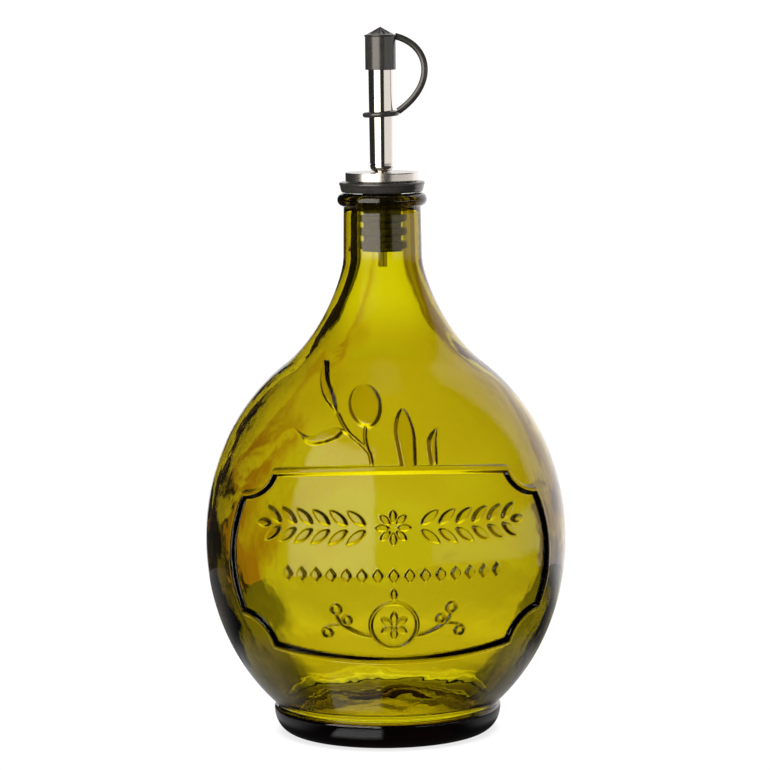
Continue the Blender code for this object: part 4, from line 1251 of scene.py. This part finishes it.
washer = [(shank_hole, FLANGE_TOP_Z + FIT_GAP)]
for face_z, inwards in ((FLANGE_TOP_Z + FIT_GAP, 1), (DISC_TOP_Z, -1)):
    rounding = [(DISC_RADIUS - 0.3, face_z), (DISC_RADIUS - 0.08, face_z + 0.08 * inwards),
                (DISC_RADIUS, face_z + 0.3 * inwards), (DISC_RADIUS, face_z + 0.5 * inwards)]
    washer += rounding[::inwards]
washer += [(shank_hole + 0.1, DISC_TOP_Z), (shank_hole, DISC_TOP_Z - 0.1), washer[0]]
show("collar_steel", turn("collar_steel", washer, STEEL_SIDES, brushed_steel, 50.0), "steel", "collar_disc")

# %% [markdown]
# The spout has a rounded foot, a groove above it and walls that widen a little to the top. The
# thin air tube hangs under the plug and lets air in while the oil runs out.

# %% Turn the tubes
foot_z = DISC_TOP_Z + FIT_GAP
tube = [(0.0, SHANK_BOTTOM_Z), (SHANK_RADIUS, SHANK_BOTTOM_Z), (SHANK_RADIUS, foot_z),
        (SPOUT_FOOT_RADIUS, foot_z)]
foot_rise = SPOUT_GROOVE_Z - 0.2 - foot_z
for k in range(1, 11):
    foot_angle = pi / 2.0 * k / 10
    tube.append((SPOUT_FOOT_RADIUS + (SPOUT_RADIUS_LOW - SPOUT_FOOT_RADIUS) * sin(foot_angle),
                 foot_z + foot_rise * (1.0 - cos(foot_angle))))
ABOVE_GROOVE = [(-0.2, -0.05), (-0.2, 0.05), (0.0, 0.25), (0.01, 0.7), (0.1, 12.0), (0.2, 26.0)]
BELOW_END = [(-0.02, -2.0), (0.0, -0.4), (-0.1, -0.1), (-0.4, 0.0)]
tube += [(SPOUT_RADIUS_LOW + out, SPOUT_GROOVE_Z + above) for out, above in ABOVE_GROOVE]
tube += [(SPOUT_RADIUS_TOP + out, SPOUT_TOP_Z + above) for out, above in BELOW_END]
tube.append((0.0, SPOUT_TOP_Z))
show("spout_steel", turn("spout_steel", tube, STEEL_SIDES, polished_steel, 40.0), "steel", "spout")

air = [(0.0, BREATHER_TOP_Z), (BREATHER_RADIUS, BREATHER_TOP_Z), (BREATHER_RADIUS, BREATHER_BOTTOM_Z + 0.15),
       (BREATHER_RADIUS - 0.15, BREATHER_BOTTOM_Z), (BREATHER_RADIUS - 0.45, BREATHER_BOTTOM_Z),
       (BREATHER_RADIUS - 0.5, BREATHER_BOTTOM_Z + 3.0), (0.0, BREATHER_BOTTOM_Z + 3.0)]
show("breather_steel", turn("breather_steel", air, 32, polished_steel, 40.0), "steel", "breather_tube")

# %% [markdown]
# ## Cap, strap and ring
# The cap, its strap and the ring on the tube are one moulding of rubber. The strap and the ring
# each follow a path, so a third tree sweeps a small rounded section along a curve.

# %% The sweeping tree
sweep_tree, sweep_in, sweep_out = new_geometry_tree("sweep_section", [
    ("Width", "NodeSocketFloat", 0.0024), ("Thickness", "NodeSocketFloat", 0.0015),
    ("Sides", "NodeSocketInt", 20), ("Material", "NodeSocketMaterial", None)])
path_curve = add_node(sweep_tree, "GeometryNodeMeshToCurve", in_0=sweep_in)
section = add_node(sweep_tree, "GeometryNodeCurvePrimitiveCircle", Resolution=sweep_in.outputs["Sides"],
                   Radius=0.5)
section_size = add_node(sweep_tree, "ShaderNodeCombineXYZ", X=sweep_in.outputs["Width"],
                        Y=sweep_in.outputs["Thickness"], Z=1.0)
flat_section = add_node(sweep_tree, "GeometryNodeTransform", Geometry=section, Scale=section_size)
swept = add_node(sweep_tree, "GeometryNodeCurveToMesh", Curve=path_curve, Profile_Curve=flat_section,
                 Fill_Caps=True)
close_tree(sweep_tree, swept, sweep_in, sweep_out)
print("sweeping tree:", len(sweep_tree.nodes), "nodes")

# %% [markdown]
# The cap is a sleeve over the end of the spout with a small brim round its top.

# %% Turn the cap
CAP_BOTTOM_Z = 239.3
CAP_RADIUS = 5.5
CAP_BRIM_RADIUS = 5.8
CAP_BRIM_Z = 251.7
CAP_APEX_Z = 254.6
CONE_RADIUS = 4.7
CROWN_RINGS = 10
bore = SPOUT_RADIUS_TOP + FIT_GAP
roof = SPOUT_TOP_Z + FIT_GAP
LOWER_EDGE = [(-0.2, 0.0), (-0.05, 0.07), (0.0, 0.25), (0.0, 0.6)]
BRIM_EDGE = [(-0.1, -0.45), (0.0, -0.3), (0.0, -0.1), (-0.15, 0.05)]
hat = [(0.0, roof), (bore - 0.3, roof), (bore, roof - 0.3), (bore, CAP_BOTTOM_Z + 0.15),
       (bore + 0.15, CAP_BOTTOM_Z)]
hat += [(CAP_RADIUS + out, CAP_BOTTOM_Z + above) for out, above in LOWER_EDGE]
hat += [(CAP_RADIUS, CAP_BRIM_Z - 1.0), (CAP_RADIUS, CAP_BRIM_Z - 0.6)]
hat += [(CAP_BRIM_RADIUS + out, CAP_BRIM_Z + above) for out, above in BRIM_EDGE]
cone_z = CAP_BRIM_Z + 0.3
for k in range(CROWN_RINGS + 1):
    share = k / CROWN_RINGS
    hat.append((CONE_RADIUS * (1.0 - share), cone_z + (CAP_APEX_Z - cone_z) * share))
cap_mesh = turn("cap_rubber", hat, RUBBER_SIDES, black_rubber, 50.0)
print("cap radius", CAP_RADIUS)

# %% [markdown]
# The cap's top is a low cone with pleats that run from the brim to its tip. Each point of the cone
# is lowered by a wave round the axis, and the cone gets a paler rubber as painted light on its top.

# %% Pleat the cap
PLEATS = 12
PLEAT_DEPTH = 0.55
for point in cap_mesh.vertices:
    from_axis = point.co.xy.length / MM
    if point.co.z / MM > cone_z + 0.05 and from_axis > 0.1:
        fold = 1.0 - abs(cos(PLEATS / 2.0 * atan2(point.co.y, point.co.x)))
        fade = min(1.0, (CONE_RADIUS - from_axis) / 0.8, from_axis / 1.2)
        point.co.z -= PLEAT_DEPTH * MM * fold * fade
# Painted light: a paler copy of the rubber for the cap's top.
crown_rubber = rubber_finish("crown_rubber", (0.38, 0.38, 0.37), (0.52, 0.51, 0.50), (0.22, 0.30), 1.0)
cap_mesh.materials.append(crown_rubber)
for face in cap_mesh.polygons:
    if face.center.z / MM > cone_z:
        face.material_index = 1
show("cap_rubber", cap_mesh, "black_rubber", "cap_tether")
print("pleats:", PLEATS)

# %% [markdown]
# The strap leaves the cap's brim, bows outwards in one curve and comes back to the ring.

# %% Sweep the strap
STRAP_THICKNESS = 1.5
STRAP_WIDTH = 2.4
STRAP_STEPS = 60
RING_Z = 223.5
RING_CENTRE_RADIUS = 5.7
strap_start = Vector((CAP_RADIUS - 0.3, 0.0, CAP_BRIM_Z - 0.5))
strap_end = Vector((RING_CENTRE_RADIUS + 0.4, 0.0, RING_Z + 0.9))
strap_handles = (strap_start + Vector((12.9, 0.0, -3.2)), strap_end + Vector((13.9, 0.0, 9.3)))
strap_path = [cubic(strap_start, *strap_handles, strap_end, k / STRAP_STEPS) * MM
              for k in range(STRAP_STEPS + 1)]
strap_mesh = run_tree("strap_rubber", line_mesh("strap_path", strap_path), sweep_tree,
                      Width=STRAP_THICKNESS * MM, Thickness=STRAP_WIDTH * MM, Sides=20, Material=black_rubber)
show("strap_rubber", face_outwards(strap_mesh), "black_rubber")

# %% [markdown]
# The ring lies loosely round the spout and hangs a little askew, so its path is tilted.

# %% Sweep the ring
RING_SECTION = 0.95
RING_TILT = 3.0
RING_STEPS = 72
tilt = Matrix.Translation((0.0, 0.0, RING_Z * MM)) @ Matrix.Rotation(-radians(RING_TILT), 4, "Y")
ring_path = []
for k in range(RING_STEPS):
    spoke = Vector((cos(tau * k / RING_STEPS), sin(tau * k / RING_STEPS), 0.0))
    ring_path.append(tilt @ (spoke * RING_CENTRE_RADIUS * MM))
ring_edges = [(k, (k + 1) % RING_STEPS) for k in range(RING_STEPS)]
ring_size = 2.0 * RING_SECTION * MM
ring_mesh = run_tree("ring_rubber", line_mesh("ring_path", ring_path, ring_edges), sweep_tree,
                     Width=ring_size, Thickness=ring_size, Sides=24, Material=black_rubber)
show("ring_rubber", face_outwards(ring_mesh), "black_rubber")
